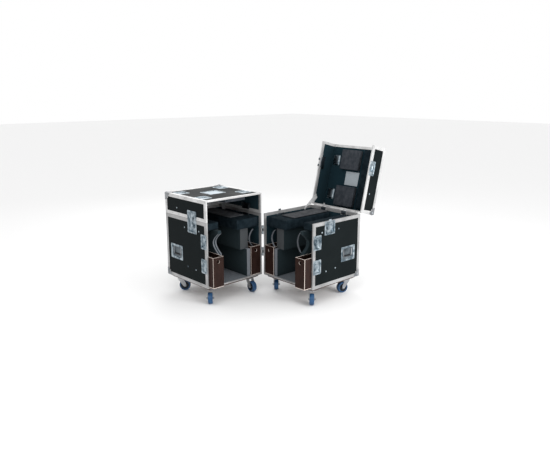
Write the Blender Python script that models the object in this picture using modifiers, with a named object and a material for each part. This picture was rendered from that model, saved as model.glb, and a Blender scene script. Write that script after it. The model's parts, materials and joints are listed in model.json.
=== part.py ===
"""Two-part equipment rack case on castors.

Two upright half cases stand at a right angle and are joined along one vertical
edge by book hinges. Each half has a hinged lid, two sliding bins between
felt-covered partitions, recessed latches and handles, and four castors.

Every piece is laid out once in the frame of a half case and then placed:
  a  across the half, from its spine face (0) to its outer face (HALF_WIDTH)
  b  into the half, from its open front (0) to its back face (HALF_DEPTH)
  z  up, from the underside of the box
"""

from math import cos, pi, radians, sin

import bmesh
import bpy
from mathutils import Matrix, Vector

# ---------------------------------------------------------------- driving sizes
HALF_WIDTH = 0.606
HALF_DEPTH = 0.603
BODY_HEIGHT = 0.566
LID_HEIGHT = 0.184
SEAM = 0.001
STACK = 0.155                 # floor to the underside of the box
SPINE_SETBACK = 0.0117        # spine faces to the corner between the halves
CLOSED_GAP = 0.003            # between the open fronts when the book is shut
LID_OPEN = radians(103.7)
CENTRE_X = -0.1551            # the corner between the halves, from the middle
CENTRE_Y = 0.00335
GAP = 0.0003

# ---------------------------------------------------------------- construction
PANEL = 0.009
EDGE_THICK = 0.0015
EDGE_WIDE = 0.030
EDGE_RETURN = 0.014
EDGE_ROUND = 0.003
SKIN = EDGE_THICK + GAP       # outer face of a panel, in from the envelope
INNER = SKIN + PANEL          # inner face of a panel
CHANNEL = INNER + GAP + EDGE_THICK
BEYOND = 0.05                 # how far a cutter runs past what it cuts
FINE_SIDES = 12               # sides of the small pins

CASTOR_BOARD = 0.018
CASTOR_BOARD_INSET = 0.025
CASTOR_INSET = 0.080
CASTOR_PLATE = 0.0035
CASTOR_PLATE_HALF = (0.050, 0.042)
CASTOR_PLATE_SUNK = 0.002
REBATE_CLEAR = 0.001
FORK_HEAD_RADIUS = 0.029
FORK_HEAD_HIGH = 0.012
CROWN = (-0.024, 0.026, 0.017, 0.010)         # back, front, low and high below the head
LEG_TOP = 0.011
LEG_BEND = 0.020
AXLE_RADIUS = 0.0050
AXLE_PAST = 0.003
AXLE_EYE = (0.014, 0.006, 0.012, 0.004)       # how the legs shape themselves round the axle
WHEEL_RADIUS = 0.050
WHEEL_HALF_WIDTH = 0.021
WHEEL_SIDES = 24
WHEEL_BORE = 0.0056
TREAD_ROUND = (0.004, 0.005)  # rounding of the tread's shoulders, across and inwards
HUB_INSET = 0.001
TRAIL = 0.038
LEG_INNER = 0.0235
LEG_THICK = 0.003

HINGE_OFFSET = 0.007          # lid hinge axis behind the back face
HINGE_RADIUS = 0.0055
EMBED = 0.0006                # how far riveted leaves are let into the frame
HINGE_HALF_LENGTH = 0.035
HINGE_KNUCKLE = 0.012         # half length of the lid's middle knuckle, with its play
HINGE_PIN = 0.0026
HINGE_BORE = 0.0030
HINGE_PIN_HALF_LENGTH = 0.020
LEAF_PROUD = 0.0023           # how far lid hinge leaves stand off the back face
LEAF_NEAR = 0.0065            # nearest and farthest edge of a leaf from the hinge axis
LEAF_FAR = 0.036
LUG_PROUD = 0.0035            # webs between leaves and knuckles
LUG_NEAR = 0.001
LUG_FAR = 0.010
HINGE_PLACES = (0.180, HALF_WIDTH - 0.180)
BOOK_RADIUS = 0.0075
BOOK_HALF_LENGTH = 0.040
BOOK_HEIGHTS = (0.2145, 0.4140)
BOOK_KNUCKLE = 0.014          # half length of the middle knuckle, with its play
KNUCKLE_PLAY = 0.0004
BOOK_PIN = 0.0037
BOOK_BORE = 0.0041
BOOK_PIN_HALF_LENGTH = 0.022
BOOK_LEAF = (0.010, 0.046, 0.0026)    # from, to and proud of the spine face
BOOK_LUG = (0.0200, 0.0055)           # reach into the half, and out of the spine face

FLANGE = 0.0012
SEAM_MARGIN = 0.0005          # dishes stop this far from the lid seam
LATCH_PAN = (0.014, 0.014, 0.014, 0.0065)     # flange left at low b, high b, low z, high z
KEEPER_PAN = (0.034, 0.034, 0.0065, 0.020)
SPLIT_PAN = (0.006, 0.013, 0.014, 0.014)
HANDLE_PAN = (0.018, 0.018, 0.018, 0.018)
PAN_CLEAR = 0.002
CUT_OUT = 0.010               # how far pan cutters stand off the face
CUT_PAST = 0.0002
FLANGE_INSET = 0.004
DISH_CORNER = 0.006
LATCH_LEVEL = 0.0019          # latch flange surface, proud of the envelope
LATCH_DEPTH = 0.0105
LATCH_CENTRE = 0.202
LATCH_WIDTH = 0.130
LATCH_HEIGHT = 0.119
KEEPER_HEIGHT = 0.074
SPLIT_HEIGHTS = (0.189, 0.399)
SPLIT_LATCH_HEIGHT = 0.126
SPLIT_LATCH_WIDTH = 0.095
SPLIT_KEEPER_WIDTH = 0.078
SPLIT_EDGE = 0.004
TURN_RADIUS = 0.026
TURN_THICK = 0.003
TURN_CLEAR = 0.0006           # handle off the floor of its dish
TURN_BAR = (0.004, 0.023)     # half width and half length of the grip bar
TURN_BELOW = 0.0003           # bar under the flange's surface
TONGUE_HALF_WIDTH = 0.016
TONGUE_PROUD = 0.0023
TONGUE_FOOT = 0.016           # below, and tip above, the top of the body
TONGUE_STEP = 0.002
TONGUE_TIP = 0.012

HANDLE_CENTRE = (0.446, 0.238)
HANDLE_SIZE = (0.180, 0.132)
HANDLE_DEPTH = 0.012
GRIP_DROP = 0.058
GRIP_HALF_WIDTH = 0.056
GRIP_BELOW = 0.009            # pivot below the top of its pan
GRIP_OUT = -0.0055
GRIP_THICK = 0.006
GRIP_ARM = 0.008
GRIP_EAR = 0.005              # arms above the pivot
GRIP_CORNER = 0.006
GRIP_BAR_HALF = (0.008, 0.004)
GRIP_ROUND = 0.0012

PARTITION_LOW = (0.127, 0.163)
PARTITION_HIGH = (0.127, 0.214)
OUTER_PARTITION = (0.443, 0.479)
PARTITION_FRONT = 0.0146
BLOCK_FRONT = 0.045
SCOOP_DEEP = 0.088
SCOOP_TOP = 0.4525
SPINE_BEAM_LOW = 0.446
OUTER_BEAM_LOW = 0.478
BEAM_TOP = 0.545
SLAB = 0.013
SPINE_BEAM = ((0.024, 0.020), (0.267, 0.585))
SPINE_SLAB = ((0.060, 0.050), (0.243, 0.570))
SLAB_SUNK = 0.010
OUTER_BEAM = ((0.430, 0.060), (0.570, 0.560))
WALL_SUNK = 0.001             # partitions are let into the mat by this much less
SHELF_BELOW = 0.014           # low partitions stop this far below the bins' rims
SCOOP_START = 0.012
BLOCK_SUNK = 0.004
BLOCK_OFFSET = 0.0002
MAT = 0.003
BIN_WIDTH = 0.108
BIN_LENGTH = 0.400
BIN_HEIGHT = 0.262
BIN_WALL = 0.006
BIN_FRONT = 0.0035
BIN_CLEAR = 0.0155
BIN_HOLE = 0.014
BIN_HOLE_DOWN = 0.038         # finger hole's centre below the rim
LEFT_BIN_OUT = 0.065
RIGHT_BIN_OUT = 0.085

CUP_SIZE = (0.096, 0.104)
CUP_DEPTH = 0.0085
LABEL_DEPTH = 0.005
CUP_PLACES = ((0.085, 0.150), (0.085, 0.475), (0.521, 0.150), (0.521, 0.475))
LABEL_CENTRE = (0.300, 0.308)
LABEL_SIZE = (0.160, 0.146)

STAY_FORWARD = 0.095          # lid stay pins in front of the hinge axis
STAY_LIFT = 0.020             # and above or below the seam
STAY_NEAR = 0.0132            # stay arm's face next to the spine wall
STAY_THICK = 0.002
STAY_HALF_WIDTH = 0.008
STAY_PIN = 0.003
STAY_REACH = 0.1785
STAY_TAIL = 0.010             # arm past its slot, and above its pivot
STAY_HEAD = 0.008
STAY_SLOT_TOP = 0.032         # where the slot starts, below the pivot
STAY_PLAY = 0.0004
STAY_CUT = (0.008, 0.020)     # how far the slot's cutter reaches across
STAY_BODY_PLATE = (0.045, 0.008)
STAY_LID_PLATE = (0.008, 0.040)
STAY_PLATE_HALF = 0.012
STAY_PIN_END = 0.0170

RIM_CUT = 0.005
LEG_OVERLAP = 0.0001
CORNER_SINK = 0.8             # share of the extrusion's wall that a corner's inside leaves
CORNER_PAST = 0.010

BALL_RADIUS = 0.018
BALL_INSET = 0.0135
CORNER_LEG = 0.045

BODY_BOX = ((0.0, 0.0, 0.0), (HALF_WIDTH, HALF_DEPTH, BODY_HEIGHT))
LID_LOW = BODY_HEIGHT + SEAM
LID_TOP = BODY_HEIGHT + LID_HEIGHT
LID_BOX = ((0.0, 0.0, LID_LOW), (HALF_WIDTH, HALF_DEPTH, LID_TOP))
HINGE_AXIS = (HALF_DEPTH + HINGE_OFFSET, BODY_HEIGHT + SEAM / 2)

LOW, HIGH = 0, 1

COLOURS = {
    "laminate": ((0.020, 0.024, 0.026), 0.55, 0.0),
    "aluminium": ((0.62, 0.60, 0.58), 0.35, 1.0),
    "zinc": ((0.50, 0.55, 0.60), 0.30, 1.0),
    "castor_zinc": ((0.48, 0.50, 0.52), 0.38, 1.0),
    "blue_tyre": ((0.10, 0.24, 0.42), 0.55, 0.0),
    "brown_board": ((0.075, 0.040, 0.030), 0.60, 0.0),
    "castor_board": ((0.10, 0.060, 0.042), 0.70, 0.0),
    "grey_felt": ((0.11, 0.12, 0.14), 0.95, 0.0),
    "dark_foam": ((0.030, 0.036, 0.045), 0.90, 0.0),
    "black_rubber": ((0.020, 0.020, 0.022), 0.70, 0.0),
}


# ---------------------------------------------------------------- scene helpers
def clear_scene():
    for thing in list(bpy.data.objects):
        bpy.data.objects.remove(thing, do_unlink=True)


def make_collection(name):
    collection = bpy.data.collections.new(name)
    bpy.context.scene.collection.children.link(collection)
    return collection


def make_material(name):
    colour, roughness, metallic = COLOURS[name]
    material = bpy.data.materials.new(name)
    material.use_nodes = True
    shader = material.node_tree.nodes["Principled BSDF"]
    shader.inputs["Base Color"].default_value = (*colour, 1.0)
    shader.inputs["Roughness"].default_value = roughness
    shader.inputs["Metallic"].default_value = metallic
    return material


clear_scene()
PARTS = make_collection("equipment_rack_case")
CUTTERS = make_collection("cutters")
MATERIALS = {name: make_material(name) for name in COLOURS}


# ---------------------------------------------------------------- the two halves
class Half:
    """One half case: its name, and the matrix from its own frame to the world."""

    def __init__(self, name, rows, bin_out):
        self.name = name
        corner = Vector((CENTRE_X, CENTRE_Y, STACK)) + Vector(rows[0]) * SPINE_SETBACK
        turn = Matrix(rows).transposed()
        self.matrix = Matrix.Translation(corner) @ turn.to_4x4()
        self.bin_out = bin_out

    def point(self, a, b, z):
        return self.matrix @ Vector((a, b, z))

    def direction(self, a, b, z):
        return self.matrix.to_3x3() @ Vector((a, b, z))


LEFT = Half("left", ((-1, 0, 0), (0, 1, 0), (0, 0, 1)), LEFT_BIN_OUT)
RIGHT = Half("right", ((0, -1, 0), (1, 0, 0), (0, 0, 1)), RIGHT_BIN_OUT)


def place(bm, name, half, material, pivot=None, parent=None, cutter=False, facing=None):
    """Make an object of a bmesh laid out in a half's frame.

    An open sheet has no outside, so facing says which way its widest faces look.
    """
    bm.transform(half.matrix)
    bm.normal_update()
    bmesh.ops.recalc_face_normals(bm, faces=bm.faces)
    if facing and max(bm.faces, key=lambda face: face.calc_area()).normal.dot(facing) < 0:
        bmesh.ops.reverse_faces(bm, faces=bm.faces)
    origin = Vector(pivot) if pivot else Vector((0.0, 0.0, 0.0))
    bm.transform(Matrix.Translation(-origin))
    mesh = bpy.data.meshes.new(name)
    bm.to_mesh(mesh)
    bm.free()
    return place_mesh(mesh, name, material, origin, parent, cutter)


def place_mesh(mesh, name, material, origin, parent=None, cutter=False):
    thing = bpy.data.objects.new(name, mesh)
    thing.location = origin
    if cutter:
        thing.hide_render = True
        thing.display_type = "WIRE"
        CUTTERS.objects.link(thing)
    else:
        if not mesh.materials:
            mesh.materials.append(MATERIALS[material])
        PARTS.objects.link(thing)
    if parent:
        thing.parent = parent
        thing.matrix_parent_inverse = Matrix.Translation(-parent.location)
    return thing


def combine(thing, tool, operation):
    modifier = thing.modifiers.new(operation.lower(), "BOOLEAN")
    modifier.operation = operation
    modifier.solver = "EXACT"
    modifier.object = tool


def smooth(thing, angle=35):
    thing.data.shade_smooth()
    thing.data.set_sharp_from_angle(angle=radians(angle))


# ---------------------------------------------------------------- bmesh shapes
def add_box(bm, low, high):
    middle = [(p + q) / 2 for p, q in zip(low, high)]
    size = [abs(q - p) for p, q in zip(low, high)]
    matrix = Matrix.Translation(middle) @ Matrix.Diagonal((*size, 1.0))
    bmesh.ops.create_cube(bm, size=1.0, matrix=matrix)


def add_cylinder(bm, start, end, radius, sides=16):
    start = Vector(start)
    end = Vector(end)
    along = end - start
    turn = along.to_track_quat("Z", "Y").to_matrix().to_4x4()
    matrix = Matrix.Translation((start + end) / 2) @ turn
    bmesh.ops.create_cone(
        bm, cap_ends=True, segments=sides, radius1=radius, radius2=radius,
        depth=along.length, matrix=matrix)


def add_ball(bm, centre, radius):
    bmesh.ops.create_uvsphere(
        bm, u_segments=12, v_segments=8, radius=radius,
        matrix=Matrix.Translation(centre))


def add_outline(bm, points, along):
    """Extrude a flat outline by a vector."""
    face = bm.faces.new([bm.verts.new(point) for point in points])
    grown = bmesh.ops.extrude_face_region(bm, geom=[face])
    moved = [item for item in grown["geom"] if isinstance(item, bmesh.types.BMVert)]
    bmesh.ops.translate(bm, verts=moved, vec=along)


def face_point(face, out, b, z):
    """A point on the outer or spine face, out from the envelope."""
    if face == "outer":
        return (HALF_WIDTH + out, b, z)
    return (-out, b, z)


def chamfered(u0, u1, v0, v1, chamfer):
    return [(u0 + chamfer, v0), (u1 - chamfer, v0), (u1, v0 + chamfer),
            (u1, v1 - chamfer), (u1 - chamfer, v1), (u0 + chamfer, v1),
            (u0, v1 - chamfer), (u0, v0 + chamfer)]


def make_dish(name, half, point, outer, pan, level, depth, parent=None):
    """A pressed dish: a flange and a sunk pan of one sheet thickness.

    point(out, u, v) gives a point of the face, outer and pan are (u0, u1, v0, v1).
    """
    bm = bmesh.new()
    corners = [point(level, u, v) for u, v in chamfered(*outer, DISH_CORNER)]
    sheet = bm.faces.new([bm.verts.new(corner) for corner in corners])
    bmesh.ops.inset_individual(bm, faces=[sheet], thickness=FLANGE_INSET)
    for vert, (u, v) in zip(sheet.verts, chamfered(*pan, DISH_CORNER)):
        vert.co = point(level, u, v)
    sunk = bmesh.ops.extrude_face_region(bm, geom=[sheet])["geom"]
    if sheet.is_valid:
        bm.faces.remove(sheet)
    down = Vector(point(level - depth, 0, 0)) - Vector(point(level, 0, 0))
    verts = [item for item in sunk if isinstance(item, bmesh.types.BMVert)]
    bmesh.ops.translate(bm, verts=verts, vec=down)
    facing = -(half.matrix.to_3x3() @ down)
    dish = place(bm, name, half, "zinc", parent=parent, facing=facing)
    sheet_metal = dish.modifiers.new("sheet", "SOLIDIFY")
    sheet_metal.thickness = FLANGE
    sheet_metal.offset = -1.0
    sheet_metal.use_even_offset = True
    return dish


def add_pan_cutter(bm, point, pan):
    """The hole that a dish's pan needs, with a little clearance."""
    clear = PAN_CLEAR
    u0, u1, v0, v1 = pan
    low = point(-INNER - CUT_PAST, u0 - clear, v0 - clear)
    high = point(CUT_OUT, u1 + clear, v1 + clear)
    add_box(bm, low, high)


# ---------------------------------------------------------------- dish layout
def inset(outer, u_low, u_high, v_low, v_high):
    u0, u1, v0, v1 = outer
    return (u0 + u_low, u1 - u_high, v0 + v_low, v1 - v_high)


def latch_outline():
    half = LATCH_WIDTH / 2
    top = BODY_HEIGHT - SEAM_MARGIN
    return (LATCH_CENTRE - half, LATCH_CENTRE + half, top - LATCH_HEIGHT, top)


def keeper_outline():
    half = LATCH_WIDTH / 2
    low = LID_LOW + SEAM_MARGIN
    return (LATCH_CENTRE - half, LATCH_CENTRE + half, low, low + KEEPER_HEIGHT)


def split_outline(height, width):
    half = SPLIT_LATCH_HEIGHT / 2
    return (SPLIT_EDGE, SPLIT_EDGE + width, height - half, height + half)


def handle_outline():
    (b, z), (wide, high) = HANDLE_CENTRE, HANDLE_SIZE
    return (b - wide / 2, b + wide / 2, z - high / 2, z + high / 2)


def latch_pan():
    return inset(latch_outline(), *LATCH_PAN)


def keeper_pan():
    return inset(keeper_outline(), *KEEPER_PAN)


def split_pan(height, width):
    return inset(split_outline(height, width), *SPLIT_PAN)


def handle_pan():
    return inset(handle_outline(), *HANDLE_PAN)


def on_face(face):
    return lambda out, b, z: face_point(face, out, b, z)


def body_dishes(half):
    """(node, face, outer, pan, level, depth) of every dish on a body's walls."""
    dishes = [(f"{face}_lid_latch_dish", face, latch_outline(), latch_pan(),
               LATCH_LEVEL, LATCH_DEPTH) for face in ("outer", "spine")]
    kind = "latch" if half is RIGHT else "keeper"
    width = SPLIT_LATCH_WIDTH if half is RIGHT else SPLIT_KEEPER_WIDTH
    for place_name, height in zip(("lower", "upper"), SPLIT_HEIGHTS):
        dishes.append((f"{place_name}_split_{kind}_dish", "outer",
                       split_outline(height, width), split_pan(height, width),
                       LATCH_LEVEL, LATCH_DEPTH))
    dishes.append(("handle_dish", "outer", handle_outline(), handle_pan(), -GAP, HANDLE_DEPTH))
    return dishes


def lid_top_pockets():
    """(outline, depth) of the stacking cups and the label recess in a lid's top."""
    pockets = []
    wide, long = CUP_SIZE
    for a, b in CUP_PLACES:
        pockets.append(((a - wide / 2, a + wide / 2, b - long / 2, b + long / 2), CUP_DEPTH))
    (a, b), (wide, long) = LABEL_CENTRE, LABEL_SIZE
    pockets.append(((a - wide / 2, a + wide / 2, b - long / 2, b + long / 2), LABEL_DEPTH))
    return pockets


# ---------------------------------------------------------------- cutters
def pan_cutter(half):
    bm = bmesh.new()
    for _, face, _, pan, _, _ in body_dishes(half):
        add_pan_cutter(bm, on_face(face), pan)
    return place(bm, f"{half.name}_pans", half, None, cutter=True)


def keeper_cutter(half, parent):
    bm = bmesh.new()
    for face in ("outer", "spine"):
        add_pan_cutter(bm, on_face(face), keeper_pan())
    return place(bm, f"{half.name}_keeper_pans", half, None, parent=parent, cutter=True)


def pocket_cutter(half, parent):
    bm = bmesh.new()
    for (a0, a1, b0, b1), depth in lid_top_pockets():
        add_box(bm, (a0, b0, LID_TOP - depth), (a1, b1, LID_TOP + BEYOND))
    return place(bm, f"{half.name}_pockets", half, None, parent=parent, cutter=True)


# ---------------------------------------------------------------- body of a half
def carcass(half):
    """Floor, back and side boards, glued into one open box."""
    bm = bmesh.new()
    add_box(bm, (SKIN, SKIN, SKIN),
            (HALF_WIDTH - SKIN, HALF_DEPTH - SKIN, BODY_HEIGHT - SKIN))
    box = place(bm, f"{half.name}_carcass", half, "laminate")
    bm = bmesh.new()
    add_box(bm, (INNER, -BEYOND, INNER),
            (HALF_WIDTH - INNER, HALF_DEPTH - INNER, BODY_HEIGHT + BEYOND))
    combine(box, place(bm, f"{half.name}_cavity", half, None, cutter=True), "DIFFERENCE")
    combine(box, pan_cutter(half), "DIFFERENCE")


def edge_windows(low, high, open_rim):
    """Boxes that leave only the edge strips of a thin box with an open front.

    open_rim is HIGH for a body, whose top is open, and LOW for a lid.
    """
    wide = EDGE_WIDE
    strip = CHANNEL
    (a0, b0, z0), (a1, b1, z1) = low, high
    side_low = z0 + wide
    side_high = z1 - wide
    closed_end = z0 if open_rim == HIGH else z1
    rim_end = z1 if open_rim == HIGH else z0
    front_low = z0 + strip if open_rim == HIGH else z0 - BEYOND
    front_high = z1 + BEYOND if open_rim == HIGH else z1 - strip
    return [
        ((a0 - BEYOND, b0 + wide, side_low), (a1 + BEYOND, b1 - wide, side_high)),
        ((a0 + wide, b1 - wide, side_low), (a1 - wide, b1 + BEYOND, side_high)),
        ((a0 + wide, b0 + wide, closed_end - BEYOND), (a1 - wide, b1 - wide, closed_end + BEYOND)),
        ((a0 + strip, b0 - BEYOND, front_low), (a1 - strip, b0 + wide, front_high)),
        ((a0 + strip, b0 - BEYOND, rim_end - RIM_CUT), (a1 - strip, b1 - strip, rim_end + RIM_CUT)),
    ]


def returns(half, name, low, high, open_rim, parent):
    """The inner legs of the channels round the open front and the open rim."""
    (a0, b0, z0), (a1, b1, z1) = low, high
    near = INNER + GAP
    far = CHANNEL - LEG_OVERLAP
    bm = bmesh.new()
    add_box(bm, (a0 + near, b0 + EMBED, z0 + (near if open_rim == HIGH else EMBED)),
            (a1 - near, b1 - near, z1 - (EMBED if open_rim == HIGH else near)))
    legs = place(bm, name + "_returns", half, None, parent=parent, cutter=True)
    bm = bmesh.new()
    add_box(bm, (a0 + far, b0 - BEYOND, z0 + far if open_rim == HIGH else z0 - BEYOND),
            (a1 - far, b1 - far, z1 + BEYOND if open_rim == HIGH else z1 - far))
    inside = place(bm, name + "_inside", half, None, parent=parent, cutter=True)
    combine(legs, inside, "DIFFERENCE")
    bm = bmesh.new()
    rim_low = z0 - BEYOND if open_rim == HIGH else z0 + EDGE_RETURN
    rim_high = z1 - EDGE_RETURN if open_rim == HIGH else z1 + BEYOND
    add_box(bm, (a0 - BEYOND, b0 + EDGE_RETURN, rim_low), (a1 + BEYOND, b1 + BEYOND, rim_high))
    beyond = place(bm, name + "_beyond", half, None, parent=parent, cutter=True)
    combine(legs, beyond, "DIFFERENCE")
    return legs


def edge_frame(half, name, low, high, open_rim, parent=None):
    """Extrusions along every edge of a box: angles, and channels at the open edges."""
    bm = bmesh.new()
    add_box(bm, low, high)
    frame = place(bm, name, half, "aluminium", parent=parent)
    rounding = frame.modifiers.new("rounding", "BEVEL")
    rounding.width = EDGE_ROUND / 2
    rounding.segments = 1
    bm = bmesh.new()
    t = EDGE_THICK
    add_box(bm, [p + t for p in low], [p - t for p in high])
    hollow = place(bm, name + "_hollow", half, None, parent=parent, cutter=True)
    combine(frame, hollow, "DIFFERENCE")
    for k, (first, second) in enumerate(edge_windows(low, high, open_rim)):
        bm = bmesh.new()
        add_box(bm, first, second)
        window = place(bm, f"{name}_window_{k}", half, None, parent=parent, cutter=True)
        combine(frame, window, "DIFFERENCE")
    combine(frame, returns(half, name, low, high, open_rim, parent), "UNION")
    return frame


def add_corner_boxes(bm, inner, z, down):
    """Boxes at the two back corners at height z, for a corner's legs or its inside."""
    start = EDGE_THICK * CORNER_SINK if inner else -EDGE_THICK
    reach = CORNER_LEG + (CORNER_PAST if inner else 0.0)
    up = -1 if down else 1
    for edge, sign in ((0.0, 1), (HALF_WIDTH, -1)):
        add_box(bm, (edge + sign * start, HALF_DEPTH - start, z + up * start),
                (edge + sign * reach, HALF_DEPTH - reach, z + up * reach))


def add_corner_balls(bm, z, down):
    up = -1 if down else 1
    for edge in (BALL_INSET, HALF_WIDTH - BALL_INSET):
        add_ball(bm, (edge, HALF_DEPTH - BALL_INSET, z + up * BALL_INSET), BALL_RADIUS)


def ball_corners(half, name, z, down, parent=None):
    """The two ball corners at height z, ready to be joined to an edge frame."""
    legs = bmesh.new()
    balls = bmesh.new()
    inside = bmesh.new()
    add_corner_boxes(legs, False, z, down)
    add_corner_balls(balls, z, down)
    add_corner_boxes(inside, True, z, down)
    corners = place(legs, name, half, None, parent=parent, cutter=True)
    tool = place(balls, name + "_balls", half, None, parent=parent, cutter=True)
    combine(corners, tool, "UNION")
    tool = place(inside, name + "_inside", half, None, parent=parent, cutter=True)
    combine(corners, tool, "DIFFERENCE")
    return corners


def body_frame(half):
    """A body's edge frame, with the ball corners and hinge leaves riveted to it."""
    name = f"{half.name}_edge_frame"
    frame = edge_frame(half, name, *BODY_BOX, HIGH)
    combine(frame, bpy.data.objects[f"{half.name}_pans"], "DIFFERENCE")
    combine(frame, ball_corners(half, name + "_corners", 0.0, False), "UNION")
    tools = {tool: bmesh.new() for tool in ("leaves", "lugs", "knuckles", "pins", "book_pins")}
    add_lid_base_leaves(tools)
    add_stay_pin(tools["leaves"], tools["pins"], BODY_HEIGHT - STAY_LIFT,
                 BODY_HEIGHT - STAY_BODY_PLATE[0], BODY_HEIGHT - STAY_BODY_PLATE[1], STAY_PIN)
    add_book_leaves(half, tools)
    for tool, bm in tools.items():
        made = place(bm, f"{name}_{tool}", half, None, cutter=True)
        bored = tool == "book_pins" and half is RIGHT
        combine(frame, made, "DIFFERENCE" if bored else "UNION")


def tongue(half, face):
    """The latch tongue: it is fixed to the dish and stands a little above the seam."""
    low = LATCH_LEVEL - FLANGE / 2
    raised = LATCH_LEVEL + GAP
    top = LATCH_LEVEL + TONGUE_PROUD
    foot = BODY_HEIGHT - TONGUE_FOOT
    step = BODY_HEIGHT - TONGUE_STEP
    tip = BODY_HEIGHT + TONGUE_TIP
    wide = TONGUE_HALF_WIDTH
    side = [(low, foot), (top, foot), (top, tip), (raised, tip), (raised, step), (low, step)]
    bm = bmesh.new()
    points = [face_point(face, out, LATCH_CENTRE - wide, z) for out, z in side]
    add_outline(bm, points, (0, 2 * wide, 0))
    return place(bm, f"{half.name}_{face}_tongue", half, None, cutter=True)


def recessed_dishes(half):
    for node, face, outer, pan, level, depth in body_dishes(half):
        dish = make_dish(f"{half.name}_{node}", half, on_face(face), outer, pan, level, depth)
        if node.endswith("lid_latch_dish"):
            combine(dish, tongue(half, face), "UNION")


def add_lid_base_leaves(tools):
    """Lower leaves of the lid hinges, with the outer knuckles and the pins."""
    back, height = HINGE_AXIS
    reach = HINGE_HALF_LENGTH
    knuckle = HINGE_KNUCKLE
    for middle in HINGE_PLACES:
        add_box(tools["leaves"], (middle - reach, HALF_DEPTH - EMBED, height - LEAF_FAR),
                (middle + reach, HALF_DEPTH + LEAF_PROUD, height - LEAF_NEAR))
        for side in (-1, 1):
            inner = middle + side * knuckle
            outer = middle + side * reach
            add_box(tools["lugs"], (inner + side * EMBED, HALF_DEPTH + EMBED, height - LUG_FAR),
                    (outer - side * EMBED, HALF_DEPTH + LUG_PROUD, height - LUG_NEAR))
            add_cylinder(tools["knuckles"], (inner, back, height), (outer, back, height),
                         HINGE_RADIUS, FINE_SIDES)
        add_cylinder(tools["pins"], (middle - HINGE_PIN_HALF_LENGTH, back, height),
                     (middle + HINGE_PIN_HALF_LENGTH, back, height), HINGE_PIN, FINE_SIDES)


def add_stay_pin(plates, pins, height, low, high, radius):
    """A lid stay's pin on its small plate, inside the spine wall."""
    forward = HINGE_AXIS[0] - STAY_FORWARD
    wide = STAY_PLATE_HALF
    add_box(plates, (INNER + GAP * 2, forward - wide, low), (STAY_NEAR - GAP, forward + wide, high))
    add_cylinder(pins, (INNER + LUG_NEAR, forward, height), (STAY_PIN_END, forward, height),
                 radius, FINE_SIDES)


def add_book_leaves(half, tools):
    """Book hinge leaves: the left half has the outer knuckles and the pin."""
    out = SPINE_SETBACK - CLOSED_GAP / 2
    front = -CLOSED_GAP / 2
    knuckle = BOOK_KNUCKLE
    leaf_from, leaf_to, proud = BOOK_LEAF
    lug_in, lug_out = BOOK_LUG
    reach = BOOK_HALF_LENGTH
    for height in BOOK_HEIGHTS:
        add_box(tools["leaves"], face_point("spine", -EMBED, leaf_from, height - reach),
                face_point("spine", proud, leaf_to, height + reach))
        if half is LEFT:
            spans = ((height - reach, height - knuckle), (height + knuckle, height + reach))
        else:
            spans = ((height - knuckle + KNUCKLE_PLAY, height + knuckle - KNUCKLE_PLAY),)
        for low, high in spans:
            add_cylinder(tools["knuckles"], face_point("spine", out, front, low),
                         face_point("spine", out, front, high), BOOK_RADIUS)
            add_box(tools["lugs"], face_point("spine", EMBED, front, low + LUG_NEAR),
                    face_point("spine", lug_out, lug_in, high - LUG_NEAR))
        add_cylinder(tools["book_pins"], face_point("spine", out, front, height - BOOK_PIN_HALF_LENGTH),
                     face_point("spine", out, front, height + BOOK_PIN_HALF_LENGTH),
                     BOOK_PIN if half is LEFT else BOOK_BORE)


# ---------------------------------------------------------------- interior
def concave_front(low, high, shallow, deep, steps=8):
    """Points (b, z) of a partition's scooped front edge, from low to high."""
    points = []
    for k in range(steps + 1):
        share = k / steps
        scoop = sin(pi * share)
        points.append((shallow + (deep - shallow) * scoop, low + (high - low) * share))
    return points


def felt_insert(half):
    """Floor mat, low partitions and their upper parts, covered in felt as one insert."""
    name = f"{half.name}_felt_insert"
    back = HALF_DEPTH - INNER - GAP
    side = CHANNEL + GAP
    low = INNER + GAP
    bm = bmesh.new()
    add_box(bm, (side, EDGE_RETURN + GAP, low), (HALF_WIDTH - side, back, low + MAT))
    insert = place(bm, name, half, "grey_felt")
    shelf = low + MAT + BIN_HEIGHT - SHELF_BELOW
    bm = bmesh.new()
    near, far = PARTITION_LOW
    add_box(bm, (near, PARTITION_FRONT, low + WALL_SUNK), (far, back - GAP, shelf))
    near, far = OUTER_PARTITION
    outline = [(back - GAP, low + WALL_SUNK), (PARTITION_FRONT, low + WALL_SUNK)]
    outline += [(PARTITION_FRONT, shelf)]
    outline += concave_front(shelf + SCOOP_START, SCOOP_TOP, PARTITION_FRONT, SCOOP_DEEP)
    outline += [(PARTITION_FRONT, OUTER_BEAM_LOW - GAP), (back - GAP, OUTER_BEAM_LOW - GAP)]
    add_outline(bm, [(near, b, z) for b, z in outline], (far - near, 0, 0))
    combine(insert, place(bm, name + "_walls", half, None, cutter=True), "UNION")
    bm = bmesh.new()
    near, far = PARTITION_HIGH
    add_box(bm, (near - BLOCK_OFFSET, BLOCK_FRONT, shelf - BLOCK_SUNK),
            (far, back - 2 * GAP, SPINE_BEAM_LOW - GAP))
    combine(insert, place(bm, name + "_block", half, None, cutter=True), "UNION")


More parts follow.
